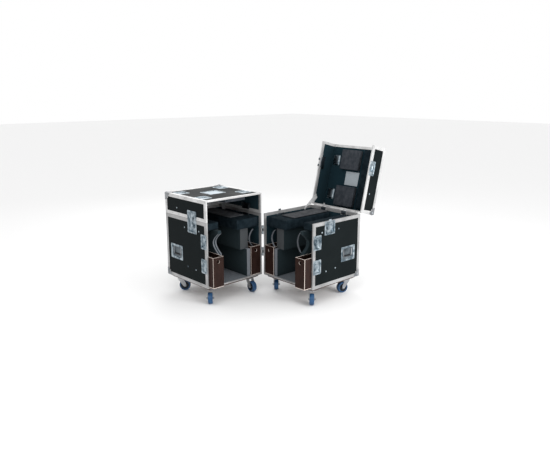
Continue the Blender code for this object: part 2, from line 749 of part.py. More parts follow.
def foam_beams(half):
    """Dark foam bars that lie on the partitions; a felt slab tops the spine one."""
    bm = bmesh.new()
    add_box(bm, (*SPINE_BEAM[0], SPINE_BEAM_LOW), (*SPINE_BEAM[1], BEAM_TOP))
    beam = place(bm, f"{half.name}_spine_foam", half, "dark_foam")
    bm = bmesh.new()
    add_box(bm, (*SPINE_SLAB[0], BEAM_TOP - SLAB_SUNK), (*SPINE_SLAB[1], BEAM_TOP + SLAB))
    combine(beam, place(bm, f"{half.name}_slab", half, None, cutter=True), "UNION")
    bm = bmesh.new()
    add_box(bm, (*OUTER_BEAM[0], OUTER_BEAM_LOW), (*OUTER_BEAM[1], BEAM_TOP))
    place(bm, f"{half.name}_outer_foam", half, "dark_foam")


def bin_tray(half, which):
    """An open-topped bin with a finger hole; the outer one is drawn out."""
    out = half.bin_out if which == "outer" else 0.0
    low = BIN_CLEAR if which == "spine" else HALF_WIDTH - BIN_CLEAR - BIN_WIDTH
    floor = INNER + MAT + 3 * GAP
    front = BIN_FRONT - out
    bm = bmesh.new()
    add_box(bm, (low, front, floor), (low + BIN_WIDTH, front + BIN_LENGTH, floor + BIN_HEIGHT))
    top = [face for face in bm.faces if face.normal.z > 0.5]
    bmesh.ops.delete(bm, geom=top, context="FACES_ONLY")
    pivot = half.point(low + BIN_WIDTH / 2, front, floor)
    tray = place(bm, f"{half.name}_{which}_bin", half, "brown_board", pivot)
    shell = tray.modifiers.new("walls", "SOLIDIFY")
    shell.thickness = BIN_WALL
    shell.offset = -1.0
    shell.use_even_offset = True
    bm = bmesh.new()
    centre = low + BIN_WIDTH / 2
    height = floor + BIN_HEIGHT - BIN_HOLE_DOWN
    add_cylinder(bm, (centre, front - CUT_OUT, height), (centre, front + CUT_OUT, height),
                 BIN_HOLE, 16)
    combine(tray, place(bm, f"{half.name}_{which}_hole", half, None, cutter=True), "DIFFERENCE")


# ---------------------------------------------------------------- castors
def castor_places():
    low = CASTOR_INSET
    return {"front_spine": (low, low), "back_spine": (low, HALF_DEPTH - low),
            "front_outer": (HALF_WIDTH - low, low),
            "back_outer": (HALF_WIDTH - low, HALF_DEPTH - low)}


def castor_board(half):
    """The board under the box, and the four castor plates bolted under it."""
    bm = bmesh.new()
    inset_by = CASTOR_BOARD_INSET
    add_box(bm, (inset_by, inset_by, -CASTOR_BOARD),
            (HALF_WIDTH - inset_by, HALF_DEPTH - inset_by, -GAP))
    board = place(bm, f"{half.name}_castor_board", half, "castor_board")
    bm = bmesh.new()
    along, across = CASTOR_PLATE_HALF
    for a, b in castor_places().values():
        add_box(bm, (a - along, b - across, -CASTOR_BOARD - CASTOR_PLATE),
                (a + along, b + across, -CASTOR_BOARD + CASTOR_PLATE_SUNK))
    combine(board, place(bm, f"{half.name}_castor_plates", half, None, cutter=True), "UNION")
    bm = bmesh.new()
    rebate = CORNER_LEG + REBATE_CLEAR
    for edge, sign in ((0.0, 1), (HALF_WIDTH, -1)):
        add_box(bm, (edge, HALF_DEPTH - rebate, -EDGE_THICK - GAP),
                (edge + sign * rebate, HALF_DEPTH, GAP))
    combine(board, place(bm, f"{half.name}_rebates", half, None, cutter=True), "DIFFERENCE")


def fork_mesh():
    """A swivel fork: its head on the swivel axis, its wheel trailing towards +X."""
    head = -CASTOR_BOARD - GAP - CASTOR_PLATE
    axle = WHEEL_RADIUS - STACK
    bm = bmesh.new()
    add_cylinder(bm, (0, 0, head - FORK_HEAD_HIGH), (0, 0, head), FORK_HEAD_RADIUS, 20)
    body = place_mesh(bm_to_mesh(bm, "fork_head"), "fork_head", None, (0, 0, 0), cutter=True)
    outer = LEG_INNER + LEG_THICK
    bm = bmesh.new()
    crown_back, crown_front, crown_low, crown_high = CROWN
    add_box(bm, (crown_back, -outer, head - crown_low), (crown_front, outer, head - crown_high))
    crown = place_mesh(bm_to_mesh(bm, "fork_crown"), "fork_crown", None, (0, 0, 0), cutter=True)
    bm = bmesh.new()
    eye, toe, below, cheek = AXLE_EYE
    outline = [(crown_back, head - LEG_TOP), (crown_back, head - LEG_BEND),
               (TRAIL - eye, axle - cheek), (TRAIL - toe, axle - below),
               (TRAIL + toe, axle - below), (TRAIL + eye, axle - cheek),
               (TRAIL + toe + cheek, axle + LEG_BEND), (crown_front, head - LEG_BEND),
               (crown_front, head - LEG_TOP)]
    for side in (-1, 1):
        near = side * LEG_INNER
        points = [(x, near, z) for x, z in outline]
        add_outline(bm, points, (0, side * LEG_THICK, 0))
    bmesh.ops.recalc_face_normals(bm, faces=bm.faces)
    legs = place_mesh(bm_to_mesh(bm, "fork_legs"), "fork_legs", None, (0, 0, 0), cutter=True)
    bm = bmesh.new()
    past = outer + AXLE_PAST
    add_cylinder(bm, (TRAIL, -past, axle), (TRAIL, past, axle), AXLE_RADIUS, FINE_SIDES)
    pin = place_mesh(bm_to_mesh(bm, "fork_axle"), "fork_axle", None, (0, 0, 0), cutter=True)
    for tool in (crown, legs, pin):
        combine(body, tool, "UNION")
    bpy.context.view_layer.update()
    evaluated = body.evaluated_get(bpy.context.evaluated_depsgraph_get())
    mesh = bpy.data.meshes.new_from_object(evaluated)
    mesh.name = "castor_fork"
    for tool in (body, crown, legs, pin):
        bpy.data.objects.remove(tool, do_unlink=True)
    return mesh


def bm_to_mesh(bm, name):
    mesh = bpy.data.meshes.new(name)
    bm.to_mesh(mesh)
    bm.free()
    return mesh


def wheel_mesh():
    """A turned wheel on the Y axis, with one flat side of its rim facing down."""
    rim = WHEEL_RADIUS / cos(pi / WHEEL_SIDES)
    half = WHEEL_HALF_WIDTH
    across, inwards = TREAD_ROUND
    hub = half - HUB_INSET
    profile = [(-hub, WHEEL_BORE), (-half, rim - inwards), (-half + across, rim),
               (half - across, rim), (half, rim - inwards), (hub, WHEEL_BORE)]
    bm = bmesh.new()
    start = [bm.verts.new((0.0, y, -r)) for y, r in profile]
    loop = [bm.edges.new((start[k], start[(k + 1) % len(start)])) for k in range(len(start))]
    turn = Matrix.Rotation(pi / WHEEL_SIDES, 4, "Y")
    bmesh.ops.transform(bm, matrix=turn, verts=start)
    bmesh.ops.spin(bm, geom=loop, cent=(0, 0, 0), axis=(0, 1, 0), angle=2 * pi,
                   steps=WHEEL_SIDES, use_merge=True)
    bmesh.ops.recalc_face_normals(bm, faces=bm.faces)
    return bm_to_mesh(bm, "castor_wheel")


# Which way each wheel trails from its swivel, in world X and Y.
TRAILS = {
    "left_front_outer": (-0.59, -0.81), "left_back_outer": (0.73, -0.68),
    "left_front_spine": (-0.10, -0.99), "left_back_spine": (0.30, 0.95),
    "right_front_spine": (0.68, 0.73), "right_front_outer": (-0.73, -0.68),
    "right_back_outer": (-0.92, 0.30), "right_back_spine": (0.80, -0.60),
}


def castors(half, fork, wheel):
    for place_name, (a, b) in castor_places().items():
        name = f"{half.name}_{place_name}"
        x, y = TRAILS[name]
        heading = Vector((x, y, 0)).normalized()
        yaw = heading.to_track_quat("X", "Z").to_euler()
        swivel = half.point(a, b, 0)
        swivel_part = place_mesh(fork, name + "_fork", "castor_zinc", swivel)
        swivel_part.rotation_euler = yaw
        axle = swivel + heading * TRAIL
        axle.z = WHEEL_RADIUS
        roller = place_mesh(wheel, name + "_wheel", "blue_tyre", axle)
        roller.rotation_euler = yaw


# ---------------------------------------------------------------- lids
def lid_pivot(half, angle):
    """An empty on the lid's hinge axis, turned by the angle the lid is open."""
    empty = bpy.data.objects.new(f"{half.name}_lid_pivot", None)
    PARTS.objects.link(empty)
    back, height = HINGE_AXIS
    at = half.point(HALF_WIDTH / 2, back, height)
    axis = half.direction(1, 0, 0)
    sign = 1 if half is LEFT else -1
    empty.location = at
    empty.rotation_mode = "QUATERNION"
    empty.rotation_quaternion = Matrix.Rotation(sign * angle, 3, axis).to_quaternion()
    return empty


def lid_shell(half, pivot):
    """Top, back and side boards of a lid, glued into one shell."""
    name = f"{half.name}_lid_shell"
    bm = bmesh.new()
    add_box(bm, (SKIN, SKIN, LID_LOW + SKIN),
            (HALF_WIDTH - SKIN, HALF_DEPTH - SKIN, LID_TOP - SKIN))
    shell = place(bm, name, half, "laminate", parent=pivot)
    bm = bmesh.new()
    add_box(bm, (INNER, -BEYOND, LID_LOW - BEYOND),
            (HALF_WIDTH - INNER, HALF_DEPTH - INNER, LID_TOP - INNER))
    cavity = place(bm, name + "_cavity", half, None, parent=pivot, cutter=True)
    combine(shell, cavity, "DIFFERENCE")
    combine(shell, keeper_cutter(half, pivot), "DIFFERENCE")
    combine(shell, pocket_cutter(half, pivot), "DIFFERENCE")


def add_lid_leaves(tools):
    """Upper leaves of the lid hinges, with a bored knuckle each."""
    back, height = HINGE_AXIS
    reach = HINGE_HALF_LENGTH
    knuckle = HINGE_KNUCKLE - KNUCKLE_PLAY
    for middle in HINGE_PLACES:
        add_box(tools["leaves"], (middle - reach, HALF_DEPTH - EMBED, height + LEAF_NEAR),
                (middle + reach, HALF_DEPTH + LEAF_PROUD, height + LEAF_FAR))
        add_box(tools["lugs"], (middle - knuckle + EMBED, HALF_DEPTH + EMBED, height + LUG_NEAR),
                (middle + knuckle - EMBED, HALF_DEPTH + LUG_PROUD, height + LUG_FAR))
        add_cylinder(tools["knuckles"], (middle - knuckle, back, height),
                     (middle + knuckle, back, height), HINGE_RADIUS, FINE_SIDES)
        add_cylinder(tools["bores"], (middle - reach, back, height),
                     (middle + reach, back, height), HINGE_BORE, FINE_SIDES)


def lid_frame(half, pivot):
    """A lid's edge frame, with its ball corners, hinge leaves and stay pin."""
    name = f"{half.name}_lid_edge_frame"
    frame = edge_frame(half, name, *LID_BOX, LOW, pivot)
    combine(frame, bpy.data.objects[f"{half.name}_keeper_pans"], "DIFFERENCE")
    corners = ball_corners(half, name + "_corners", LID_TOP, True, pivot)
    combine(frame, corners, "UNION")
    tools = {tool: bmesh.new() for tool in ("leaves", "lugs", "knuckles", "bores")}
    add_lid_leaves(tools)
    add_stay_pin(tools["leaves"], tools["knuckles"], LID_LOW + STAY_LIFT,
                 LID_LOW + STAY_LID_PLATE[0], LID_LOW + STAY_LID_PLATE[1],
                 STAY_PIN - STAY_PLAY)
    for tool, bm in tools.items():
        made = place(bm, f"{name}_{tool}", half, None, parent=pivot, cutter=True)
        combine(frame, made, "DIFFERENCE" if tool == "bores" else "UNION")


def lid_keepers(half, pivot):
    for face in ("outer", "spine"):
        make_dish(f"{half.name}_{face}_lid_keeper", half, on_face(face), keeper_outline(),
                  keeper_pan(), LATCH_LEVEL, LATCH_DEPTH, pivot)


def stay_arm(half, open_angle):
    """The slotted lid stay: it hangs from the lid's pin and slides on the body's pin."""
    back, height = HINGE_AXIS
    forward = back - STAY_FORWARD
    upper = BODY_HEIGHT + SEAM + STAY_LIFT
    bm = bmesh.new()
    wide = STAY_HALF_WIDTH
    add_box(bm, (STAY_NEAR, forward - wide, upper - STAY_REACH - STAY_TAIL),
            (STAY_NEAR + STAY_THICK, forward + wide, upper + STAY_HEAD))
    pin_closed = Vector((STAY_NEAR, forward, upper))
    swing = Matrix.Rotation(-open_angle, 4, "X")
    axis_point = Vector((STAY_NEAR, back, height))
    pin_open = axis_point + swing @ (pin_closed - axis_point)
    half_turn = Matrix.Rotation(-open_angle / 2, 4, "X")
    move = Matrix.Translation(pin_open) @ half_turn @ Matrix.Translation(-pin_closed)
    bm.transform(move)
    slot = bmesh.new()
    near, far = STAY_CUT
    wide = STAY_PIN + STAY_PLAY
    add_cylinder(slot, (near, forward, upper), (far, forward, upper), STAY_PIN + GAP, FINE_SIDES)
    add_box(slot, (near, forward - wide, upper - STAY_REACH),
            (far, forward + wide, upper - STAY_SLOT_TOP))
    slot.transform(move)
    pivot = half.point(*pin_open)
    arm = place(bm, f"{half.name}_lid_stay", half, "zinc", pivot)
    combine(arm, place(slot, f"{half.name}_stay_slot", half, None, cutter=True), "DIFFERENCE")


# ---------------------------------------------------------------- latches and grips
def latch_handle(half, name, face, b, z):
    """A butterfly turn handle: a disc with a raised grip bar."""
    out = LATCH_LEVEL - LATCH_DEPTH + TURN_CLEAR
    bm = bmesh.new()
    add_cylinder(bm, face_point(face, out, b, z), face_point(face, out + TURN_THICK, b, z),
                 TURN_RADIUS, 20)
    bar = bmesh.new()
    wide, long = TURN_BAR
    add_box(bar, face_point(face, out + TURN_THICK / 3, b - wide, z - long),
            face_point(face, LATCH_LEVEL - TURN_BELOW, b + wide, z + long))
    pivot = half.point(*face_point(face, out, b, z))
    turn = place(bm, f"{half.name}_{name}", half, "zinc", pivot)
    tool = place(bar, f"{half.name}_{name}_bar", half, None, cutter=True)
    combine(turn, tool, "UNION")


def latch_handles(half):
    height = (latch_pan()[2] + latch_pan()[3]) / 2
    latch_handle(half, "outer_lid_latch", "outer", LATCH_CENTRE, height)
    latch_handle(half, "spine_lid_latch", "spine", LATCH_CENTRE, height)
    if half is RIGHT:
        for name, height in zip(("lower", "upper"), SPLIT_HEIGHTS):
            pan = split_pan(height, SPLIT_LATCH_WIDTH)
            middle = (pan[0] + pan[1]) / 2
            latch_handle(half, f"{name}_split_latch", "outer", middle, height)


def handle_grip(half):
    """A bail that hangs in its dish from a horizontal pin near the top."""
    b0, b1, _, top = handle_pan()
    b = (b0 + b1) / 2
    pivot_height = top - GRIP_BELOW
    out = GRIP_OUT
    wide = GRIP_HALF_WIDTH
    inner = wide - GRIP_ARM
    corner = wide - GRIP_CORNER
    drop = GRIP_DROP
    below, above = GRIP_BAR_HALF
    outline = [(-wide, GRIP_EAR), (-wide, -drop), (-corner, -drop - below),
               (corner, -drop - below), (wide, -drop), (wide, GRIP_EAR),
               (inner, GRIP_EAR), (inner, -drop + above), (-inner, -drop + above),
               (-inner, GRIP_EAR)]
    bm = bmesh.new()
    near = HALF_WIDTH + out - GRIP_THICK / 2
    add_outline(bm, [(near, b + u, pivot_height + v) for u, v in outline], (GRIP_THICK, 0, 0))
    pivot = half.point(HALF_WIDTH + out, b, pivot_height)
    grip = place(bm, f"{half.name}_handle_grip", half, "black_rubber", pivot)
    rounding = grip.modifiers.new("rounding", "BEVEL")
    rounding.width = GRIP_ROUND
    rounding.segments = 1
    rounding.limit_method = "ANGLE"


# ---------------------------------------------------------------- assembly
def build_body(half):
    carcass(half)
    body_frame(half)
    castor_board(half)
    felt_insert(half)
    foam_beams(half)
    recessed_dishes(half)
    handle_grip(half)
    latch_handles(half)
    for which in ("spine", "outer"):
        bin_tray(half, which)


def build_lid(half, angle):
    pivot = lid_pivot(half, angle)
    lid_shell(half, pivot)
    lid_frame(half, pivot)
    lid_keepers(half, pivot)
    stay_arm(half, angle)


def main():
    fork = fork_mesh()
    wheel = wheel_mesh()
    for half, angle in ((LEFT, 0.0), (RIGHT, LID_OPEN)):
        build_body(half)
        build_lid(half, angle)
        castors(half, fork, wheel)
    for thing in PARTS.objects:
        if thing.type == "MESH":
            smooth(thing)


main()
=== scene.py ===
"""Looks of the two-part equipment rack case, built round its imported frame.

Everything is laid out in the frame of one half case and then placed:
  a  across the half, from its spine face (0) to its outer face (WIDTH)
  b  into the half, from its open front (0) to its back face (DEPTH)
  z  up, from the underside of the box
Lid pieces are laid out on the closed lid and turned with it.
"""

import json
from math import cos, pi, radians, sin

import bmesh
import bpy
from mathutils import Matrix, Vector


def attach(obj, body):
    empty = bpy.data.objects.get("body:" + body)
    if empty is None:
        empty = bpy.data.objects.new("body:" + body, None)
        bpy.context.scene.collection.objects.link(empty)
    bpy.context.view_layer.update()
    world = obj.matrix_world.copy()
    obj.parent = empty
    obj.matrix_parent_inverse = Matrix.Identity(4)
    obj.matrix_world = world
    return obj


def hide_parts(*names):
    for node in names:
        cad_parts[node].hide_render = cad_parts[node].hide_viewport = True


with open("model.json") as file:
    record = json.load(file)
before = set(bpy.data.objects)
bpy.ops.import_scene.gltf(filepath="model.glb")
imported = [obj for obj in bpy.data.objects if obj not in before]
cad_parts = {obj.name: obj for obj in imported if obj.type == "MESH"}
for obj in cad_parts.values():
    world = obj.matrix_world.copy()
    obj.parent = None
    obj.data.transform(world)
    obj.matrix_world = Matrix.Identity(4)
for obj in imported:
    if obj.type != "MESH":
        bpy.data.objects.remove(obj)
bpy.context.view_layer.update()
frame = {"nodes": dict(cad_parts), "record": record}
JOINTS = {joint["name"]: joint for joint in frame["record"]["behaviour"]["joints"]}

# ---------------------------------------------------------------- sizes, in metres
WIDTH = 0.606
DEPTH = 0.603
BODY = 0.566
LID_LOW = 0.567
LID_TOP = 0.750
SETBACK = 0.0117
CLOSED_GAP = 0.003
HINGE_BEHIND = 0.007
HINGE_UP = 0.5665
SKIN = 0.0018
INNER = 0.0108
STRIP = 0.030
LEVEL = 0.0019
SUNK = 0.0105
LATCH_MIDDLE = 0.202
SPLIT_HEIGHTS = (0.189, 0.399)
CUPS = ((0.085, 0.150), (0.085, 0.475), (0.521, 0.150), (0.521, 0.475))
CUP_SIZE = (0.096, 0.104)
CASTOR_IN = 0.080
HINGE_PLACES = (0.180, WIDTH - 0.180)
HINGE_REACH = 0.037
BOOK_HEIGHTS = (0.2145, 0.4140)
CORNER_LEG = 0.05
PRESSED = 40
CHANNEL = 0.0129
BACK_WALL = 0.5905
LINING_FACES = (0.0110, 0.0122)
LINING_LOW = 0.0145
LINING_TOP = 0.550


# ---------------------------------------------------------------- the two halves
class Half:
    """A half case: matrices that place a piece of its body or of its lid."""

    def __init__(self, name, rows, bin_out):
        self.name = name
        book = Vector(JOINTS["book_hinge"]["pos_m"])
        corner = Vector((book.x + CLOSED_GAP / 2, book.y + CLOSED_GAP / 2, book.z))
        turn = Matrix(rows).transposed().to_4x4()
        self.body = Matrix.Translation(corner + Vector(rows[0]) * SETBACK) @ turn
        hinge = JOINTS[f"{name}_lid_hinge"]
        at = Vector(hinge["pos_m"])
        swing = Matrix.Rotation(-radians(hinge["range_deg"][0]), 4, Vector(hinge["axis"]))
        self.lid = Matrix.Translation(at) @ swing @ Matrix.Translation(-at) @ self.body
        self.bin_out = bin_out


LEFT = Half("left", ((-1, 0, 0), (0, 1, 0), (0, 0, 1)), 0.065)
RIGHT = Half("right", ((0, -1, 0), (1, 0, 0), (0, 0, 1)), 0.085)


# ---------------------------------------------------------------- materials
def set_inputs(node, values):
    for key, value in values.items():
        node.inputs[key].default_value = value


def shader_of(material):
    return material.node_tree.nodes["Principled BSDF"]


def new_material(name, colour, roughness, metallic=0.0, specular=0.3):
    material = bpy.data.materials.new(name)
    material.use_nodes = True
    set_inputs(shader_of(material), {
        "Base Color": (*colour, 1.0), "Roughness": roughness, "Metallic": metallic,
        "Specular IOR Level": 0.5 if metallic else specular})
    return material


def texture(material, kind, scale, stretch=(1, 1, 1), **settings):
    """A texture on the piece's own coordinates, which move with it."""
    nodes = material.node_tree.nodes
    links = material.node_tree.links
    place = nodes.new("ShaderNodeTexCoord")
    mapping = nodes.new("ShaderNodeMapping")
    set_inputs(mapping, {"Scale": stretch})
    made = nodes.new(kind)
    set_inputs(made, {"Scale": scale, **settings})
    links.new(place.outputs["Object"], mapping.inputs["Vector"])
    links.new(mapping.outputs["Vector"], made.inputs["Vector"])
    return made


def output_of(node):
    for name in ("Fac", "Distance"):
        if name in node.outputs:
            return node.outputs[name]
    return node.outputs[0]


def tint(material, source, dark, light, low=0.35, high=0.65):
    """Colour from dark to light as the source goes from low to high."""
    links = material.node_tree.links
    ramp = material.node_tree.nodes.new("ShaderNodeValToRGB")
    for stop, place, colour in zip(ramp.color_ramp.elements, (low, high), (dark, light)):
        stop.position = place
        stop.color = (*colour, 1.0)
    links.new(output_of(source), ramp.inputs["Fac"])
    links.new(ramp.outputs["Color"], shader_of(material).inputs["Base Color"])


def vary_roughness(material, source, low, high):
    links = material.node_tree.links
    spread = material.node_tree.nodes.new("ShaderNodeMapRange")
    set_inputs(spread, {"From Min": 0.3, "From Max": 0.7, "To Min": low, "To Max": high})
    links.new(output_of(source), spread.inputs["Value"])
    links.new(spread.outputs["Result"], shader_of(material).inputs["Roughness"])


def bumps(material, layers):
    """Bump from (texture, strength, depth in metres) layers, one after another."""
    nodes = material.node_tree.nodes
    links = material.node_tree.links
    previous = None
    for source, strength, depth in layers:
        bump = nodes.new("ShaderNodeBump")
        set_inputs(bump, {"Strength": strength, "Distance": depth})
        links.new(output_of(source), bump.inputs["Height"])
        if previous:
            links.new(previous.outputs["Normal"], bump.inputs["Normal"])
        previous = bump
    links.new(previous.outputs["Normal"], shader_of(material).inputs["Normal"])


NOISE = "ShaderNodeTexNoise"
CELLS = "ShaderNodeTexVoronoi"


def laminate():
    made = new_material("black_laminate", (0.005, 0.008, 0.009), 0.56, 0.0, 0.05)
    cloudy = texture(made, NOISE, 5.0, Detail=6.0)
    tint(made, cloudy, (0.0030, 0.0055, 0.0062), (0.0060, 0.0090, 0.0098))
    vary_roughness(made, cloudy, 0.48, 0.64)
    grain = texture(made, CELLS, 420.0)
    scratch = texture(made, NOISE, 60.0, (1.0, 1.0, 0.08), Detail=5.0)
    bumps(made, [(grain, 0.16, 0.0004), (scratch, 0.10, 0.0003)])
    return made


def metal(name, dark, light, roughness, grain_scale, metallic=1.0):
    made = new_material(name, light, sum(roughness) / 2, metallic)
    cloudy = texture(made, NOISE, 9.0, Detail=7.0)
    tint(made, cloudy, dark, light)
    fine = texture(made, NOISE, grain_scale, Detail=4.0)
    vary_roughness(made, fine, *roughness)
    bumps(made, [(fine, 0.12, 0.0003)])
    return made


def cloth(name, dark, light, scale, depth):
    made = new_material(name, light, 0.95, 0.0, 0.06)
    set_inputs(shader_of(made), {"Sheen Weight": 0.04, "Sheen Roughness": 0.5})
    patches = texture(made, NOISE, 14.0, Detail=8.0)
    fibre = texture(made, NOISE, scale, Detail=8.0, Roughness=0.7)
    tint(made, fibre, dark, light, 0.30, 0.70)
    bumps(made, [(patches, 0.15, 0.004), (fibre, 0.7, depth)])
    return made


def board(name, dark, light, stretch):
    made = new_material(name, light, 0.5, 0.0, 0.12)
    grain = texture(made, NOISE, 40.0, stretch, Detail=8.0)
    tint(made, grain, dark, light)
    vary_roughness(made, grain, 0.42, 0.62)
    fine = texture(made, NOISE, 700.0, stretch, Detail=3.0)
    bumps(made, [(grain, 0.15, 0.0006), (fine, 0.12, 0.0002)])
    return made


def rubber(name, dark, light, roughness):
    made = new_material(name, light, roughness)
    dust = texture(made, NOISE, 30.0, Detail=8.0)
    tint(made, dust, dark, light)
    vary_roughness(made, dust, roughness - 0.08, roughness + 0.12)
    pores = texture(made, NOISE, 900.0, Detail=3.0)
    bumps(made, [(pores, 0.2, 0.0003)])
    return made


def foam(name, dark, light):
    made = new_material(name, light, 0.98, 0.0, 0.06)
    cells = texture(made, CELLS, 520.0)
    clouds = texture(made, NOISE, 25.0, Detail=6.0)
    tint(made, clouds, dark, light)
    bumps(made, [(clouds, 0.2, 0.003), (cells, 0.6, 0.0012)])
    return made


def mottled_zinc():
    """Bright plating: cloudy blue-grey spangle that breaks up every reflection."""
    made = new_material("bright_zinc", (0.5, 0.56, 0.62), 0.28, 1.0)
    spangle = texture(made, CELLS, 95.0, Randomness=1.0)
    cloudy = texture(made, NOISE, 30.0, Detail=8.0)
    tint(made, cloudy, (0.095, 0.135, 0.165), (0.43, 0.49, 0.53), 0.36, 0.64)
    vary_roughness(made, cloudy, 0.24, 0.44)
    bumps(made, [(spangle, 0.22, 0.0010), (cloudy, 0.28, 0.0013)])
    return made


LAMINATE = laminate()
ALUMINIUM = metal("satin_aluminium", (0.29, 0.29, 0.29), (0.42, 0.42, 0.425), (0.32, 0.50),
                  350.0, 0.5)
STEEL_BLUE = metal("dark_steel", (0.035, 0.045, 0.055), (0.11, 0.13, 0.15), (0.28, 0.45), 200.0)
ZINC = mottled_zinc()
# Zinc darkened to stand for the shade and dark reflections in sunk pans: painted shade
SHADE_PAINTED_ZINC = metal("shaded_zinc", (0.045, 0.057, 0.066), (0.16, 0.185, 0.205), (0.30, 0.46), 60.0)
STRAP = board("satin_strap", (0.46, 0.465, 0.47), (0.62, 0.625, 0.63), (1, 1, 1))
# A lighter copy of the body's aluminium for the lid's frame: painted light where the open lid's
# extrusions catch more light
LIT_LID_ALUMINIUM = metal("bright_aluminium", (0.46, 0.46, 0.46), (0.66, 0.66, 0.66),
                      (0.30, 0.46), 350.0, 0.5)
CORNER_ZINC = metal("corner_zinc", (0.19, 0.205, 0.22), (0.34, 0.35, 0.365), (0.24, 0.42), 240.0)
CASTOR_STEEL = metal("castor_steel", (0.24, 0.25, 0.27), (0.42, 0.43, 0.44), (0.26, 0.44), 300.0)
BROWN = board("brown_film_board", (0.017, 0.0075, 0.0055), (0.027, 0.0125, 0.0095), (1, 1, 0.4))
PALE = board("pale_board_edge", (0.70, 0.60, 0.54), (0.84, 0.74, 0.68), (1, 1, 1))
PLY = board("brown_birch_board", (0.045, 0.024, 0.017), (0.085, 0.050, 0.036), (0.3, 0.3, 9.0))
# Felt darkened for the shade inside the case: painted shade on the partitions and the upper block
FELT = cloth("grey_felt", (0.009, 0.018, 0.022), (0.030, 0.044, 0.050), 900.0, 0.0012)
# Lightened felt for the front edges that face the light: painted light
LIT_FELT_EDGE = cloth("light_felt_edge", (0.10, 0.11, 0.125), (0.20, 0.215, 0.24), 900.0, 0.0008)
# Felt lightened for the upper block's front face: painted light
HALF_LIT_FELT = cloth("mid_grey_felt", (0.038, 0.043, 0.047), (0.074, 0.080, 0.085), 900.0, 0.0010)
CARPET = cloth("floor_carpet", (0.085, 0.098, 0.112), (0.17, 0.19, 0.21), 620.0, 0.0020)
LINING = cloth("dark_lining", (0.004, 0.014, 0.020), (0.012, 0.032, 0.043), 1100.0, 0.0008)
DARK_FOAM = foam("charcoal_foam", (0.005, 0.010, 0.014), (0.012, 0.020, 0.026))
GREY_FOAM = foam("grey_slab_foam", (0.044, 0.047, 0.052), (0.075, 0.078, 0.084))
PAD_FOAM = foam("lid_pad_foam", (0.032, 0.038, 0.046), (0.056, 0.062, 0.072))
BLACK_RUBBER = rubber("black_rubber", (0.007, 0.007, 0.008), (0.016, 0.016, 0.018), 0.55)
BLUE_TREAD = rubber("blue_tread", (0.012, 0.045, 0.110), (0.026, 0.085, 0.190), 0.42)
CORE = rubber("dark_wheel_core", (0.006, 0.011, 0.018), (0.016, 0.024, 0.034), 0.38)
CARD = rubber("label_card", (0.50, 0.58, 0.64), (0.62, 0.69, 0.74), 0.60)
PLATE = cloth("pale_lid_plate", (0.26, 0.30, 0.33), (0.44, 0.48, 0.51), 700.0, 0.0008)


# ---------------------------------------------------------------- making pieces
def finish_piece(name, bm, matrix, material, body, replaces=(), angle=35):
    bm.transform(matrix)
    if matrix.determinant() < 0:
        bmesh.ops.reverse_faces(bm, faces=bm.faces)
    mesh = bpy.data.meshes.new(name)
    bm.to_mesh(mesh)
    bm.free()
    thing = bpy.data.objects.new(name, mesh)
    bpy.context.scene.collection.objects.link(thing)
    mesh.materials.append(material)
    mesh.shade_smooth()
    mesh.set_sharp_from_angle(angle=radians(angle))
    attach(thing, body)
    if replaces:
        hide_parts(*replaces)
    return thing


def on_body(half, name, bm, material, slot="zinc", replaces=(), angle=35):
    """A piece of a half's body; most such pieces are zinc hardware."""
    return finish_piece(f"{half.name}_{name}", bm, half.body, material, f"{half.name}_half",
                        replaces, angle)


def on_lid(half, name, bm, material, slot="zinc", replaces=(), angle=35):
    """A piece of a half's lid, laid out on the closed lid."""
    return finish_piece(f"{half.name}_{name}", bm, half.lid, material, f"{half.name}_lid",
                        replaces, angle)


def outward(bm):
    bmesh.ops.recalc_face_normals(bm, faces=bm.faces)


def solid_box(bm, low, high, rounding=0.0, segments=2):
    size = [q - p for p, q in zip(low, high)]
    middle = [(p + q) / 2 for p, q in zip(low, high)]
    matrix = Matrix.Translation(middle) @ Matrix.Diagonal((*size, 1.0))
    made = bmesh.ops.create_cube(bm, size=1.0, matrix=matrix)["verts"]
    if rounding:
        edges = {edge for vert in made for edge in vert.link_edges}
        bmesh.ops.bevel(bm, geom=list(edges), offset=rounding, segments=segments,
                        profile=0.5, affect="EDGES")


def frame_of(out):
    """Two directions across an outward direction."""
    out = Vector(out).normalized()
    across = out.orthogonal().normalized()
    return across, out.cross(across)


def circle(bm, centre, across, up, radius, sides):
    return [bm.verts.new(centre + (across * cos(2 * pi * k / sides)
                                   + up * sin(2 * pi * k / sides)) * radius)
            for k in range(sides)]


def skin(bm, rings):
    """Four-sided faces between rings that have the same count of points."""
    for low, high in zip(rings, rings[1:]):
        for k in range(len(low)):
            nxt = (k + 1) % len(low)
            bm.faces.new((low[k], low[nxt], high[nxt], high[k]))


def cap_ends(bm, rings):
    bm.faces.new(list(reversed(rings[0])))
    bm.faces.new(rings[-1])


def turned(bm, base, out, profile, sides=16):
    """A turned shape: (radius, height) pairs from the base along out, closed by radius 0."""
    across, up = frame_of(out)
    out = Vector(out).normalized()
    base = Vector(base)
    rings = []
    for radius, height in profile:
        centre = base + out * height
        if radius == 0.0:
            rings.append([bm.verts.new(centre)])
            continue
        rings.append(circle(bm, centre, across, up, radius, sides))
    for low, high in zip(rings, rings[1:]):
        for k in range(sides):
            nxt = (k + 1) % sides
            if len(high) == 1:
                bm.faces.new((low[k], low[nxt], high[0]))
            elif len(low) == 1:
                bm.faces.new((low[0], high[nxt], high[k]))
            else:
                bm.faces.new((low[k], low[nxt], high[nxt], high[k]))


def rivet(bm, base, out, radius=0.0034, height=0.0011):
    turned(bm, base, out, [(radius, -0.0002), (radius, 0.0003), (radius * 0.72, height * 0.8),
                           (0.0, height)], 10)


def bolt_head(bm, base, out):
    """A domed bolt head on its washer."""
    turned(bm, base, out, [(0.0070, -0.0002), (0.0070, 0.0008), (0.0050, 0.0009),
                           (0.0048, 0.0018), (0.0032, 0.0030), (0.0, 0.0034)], 14)


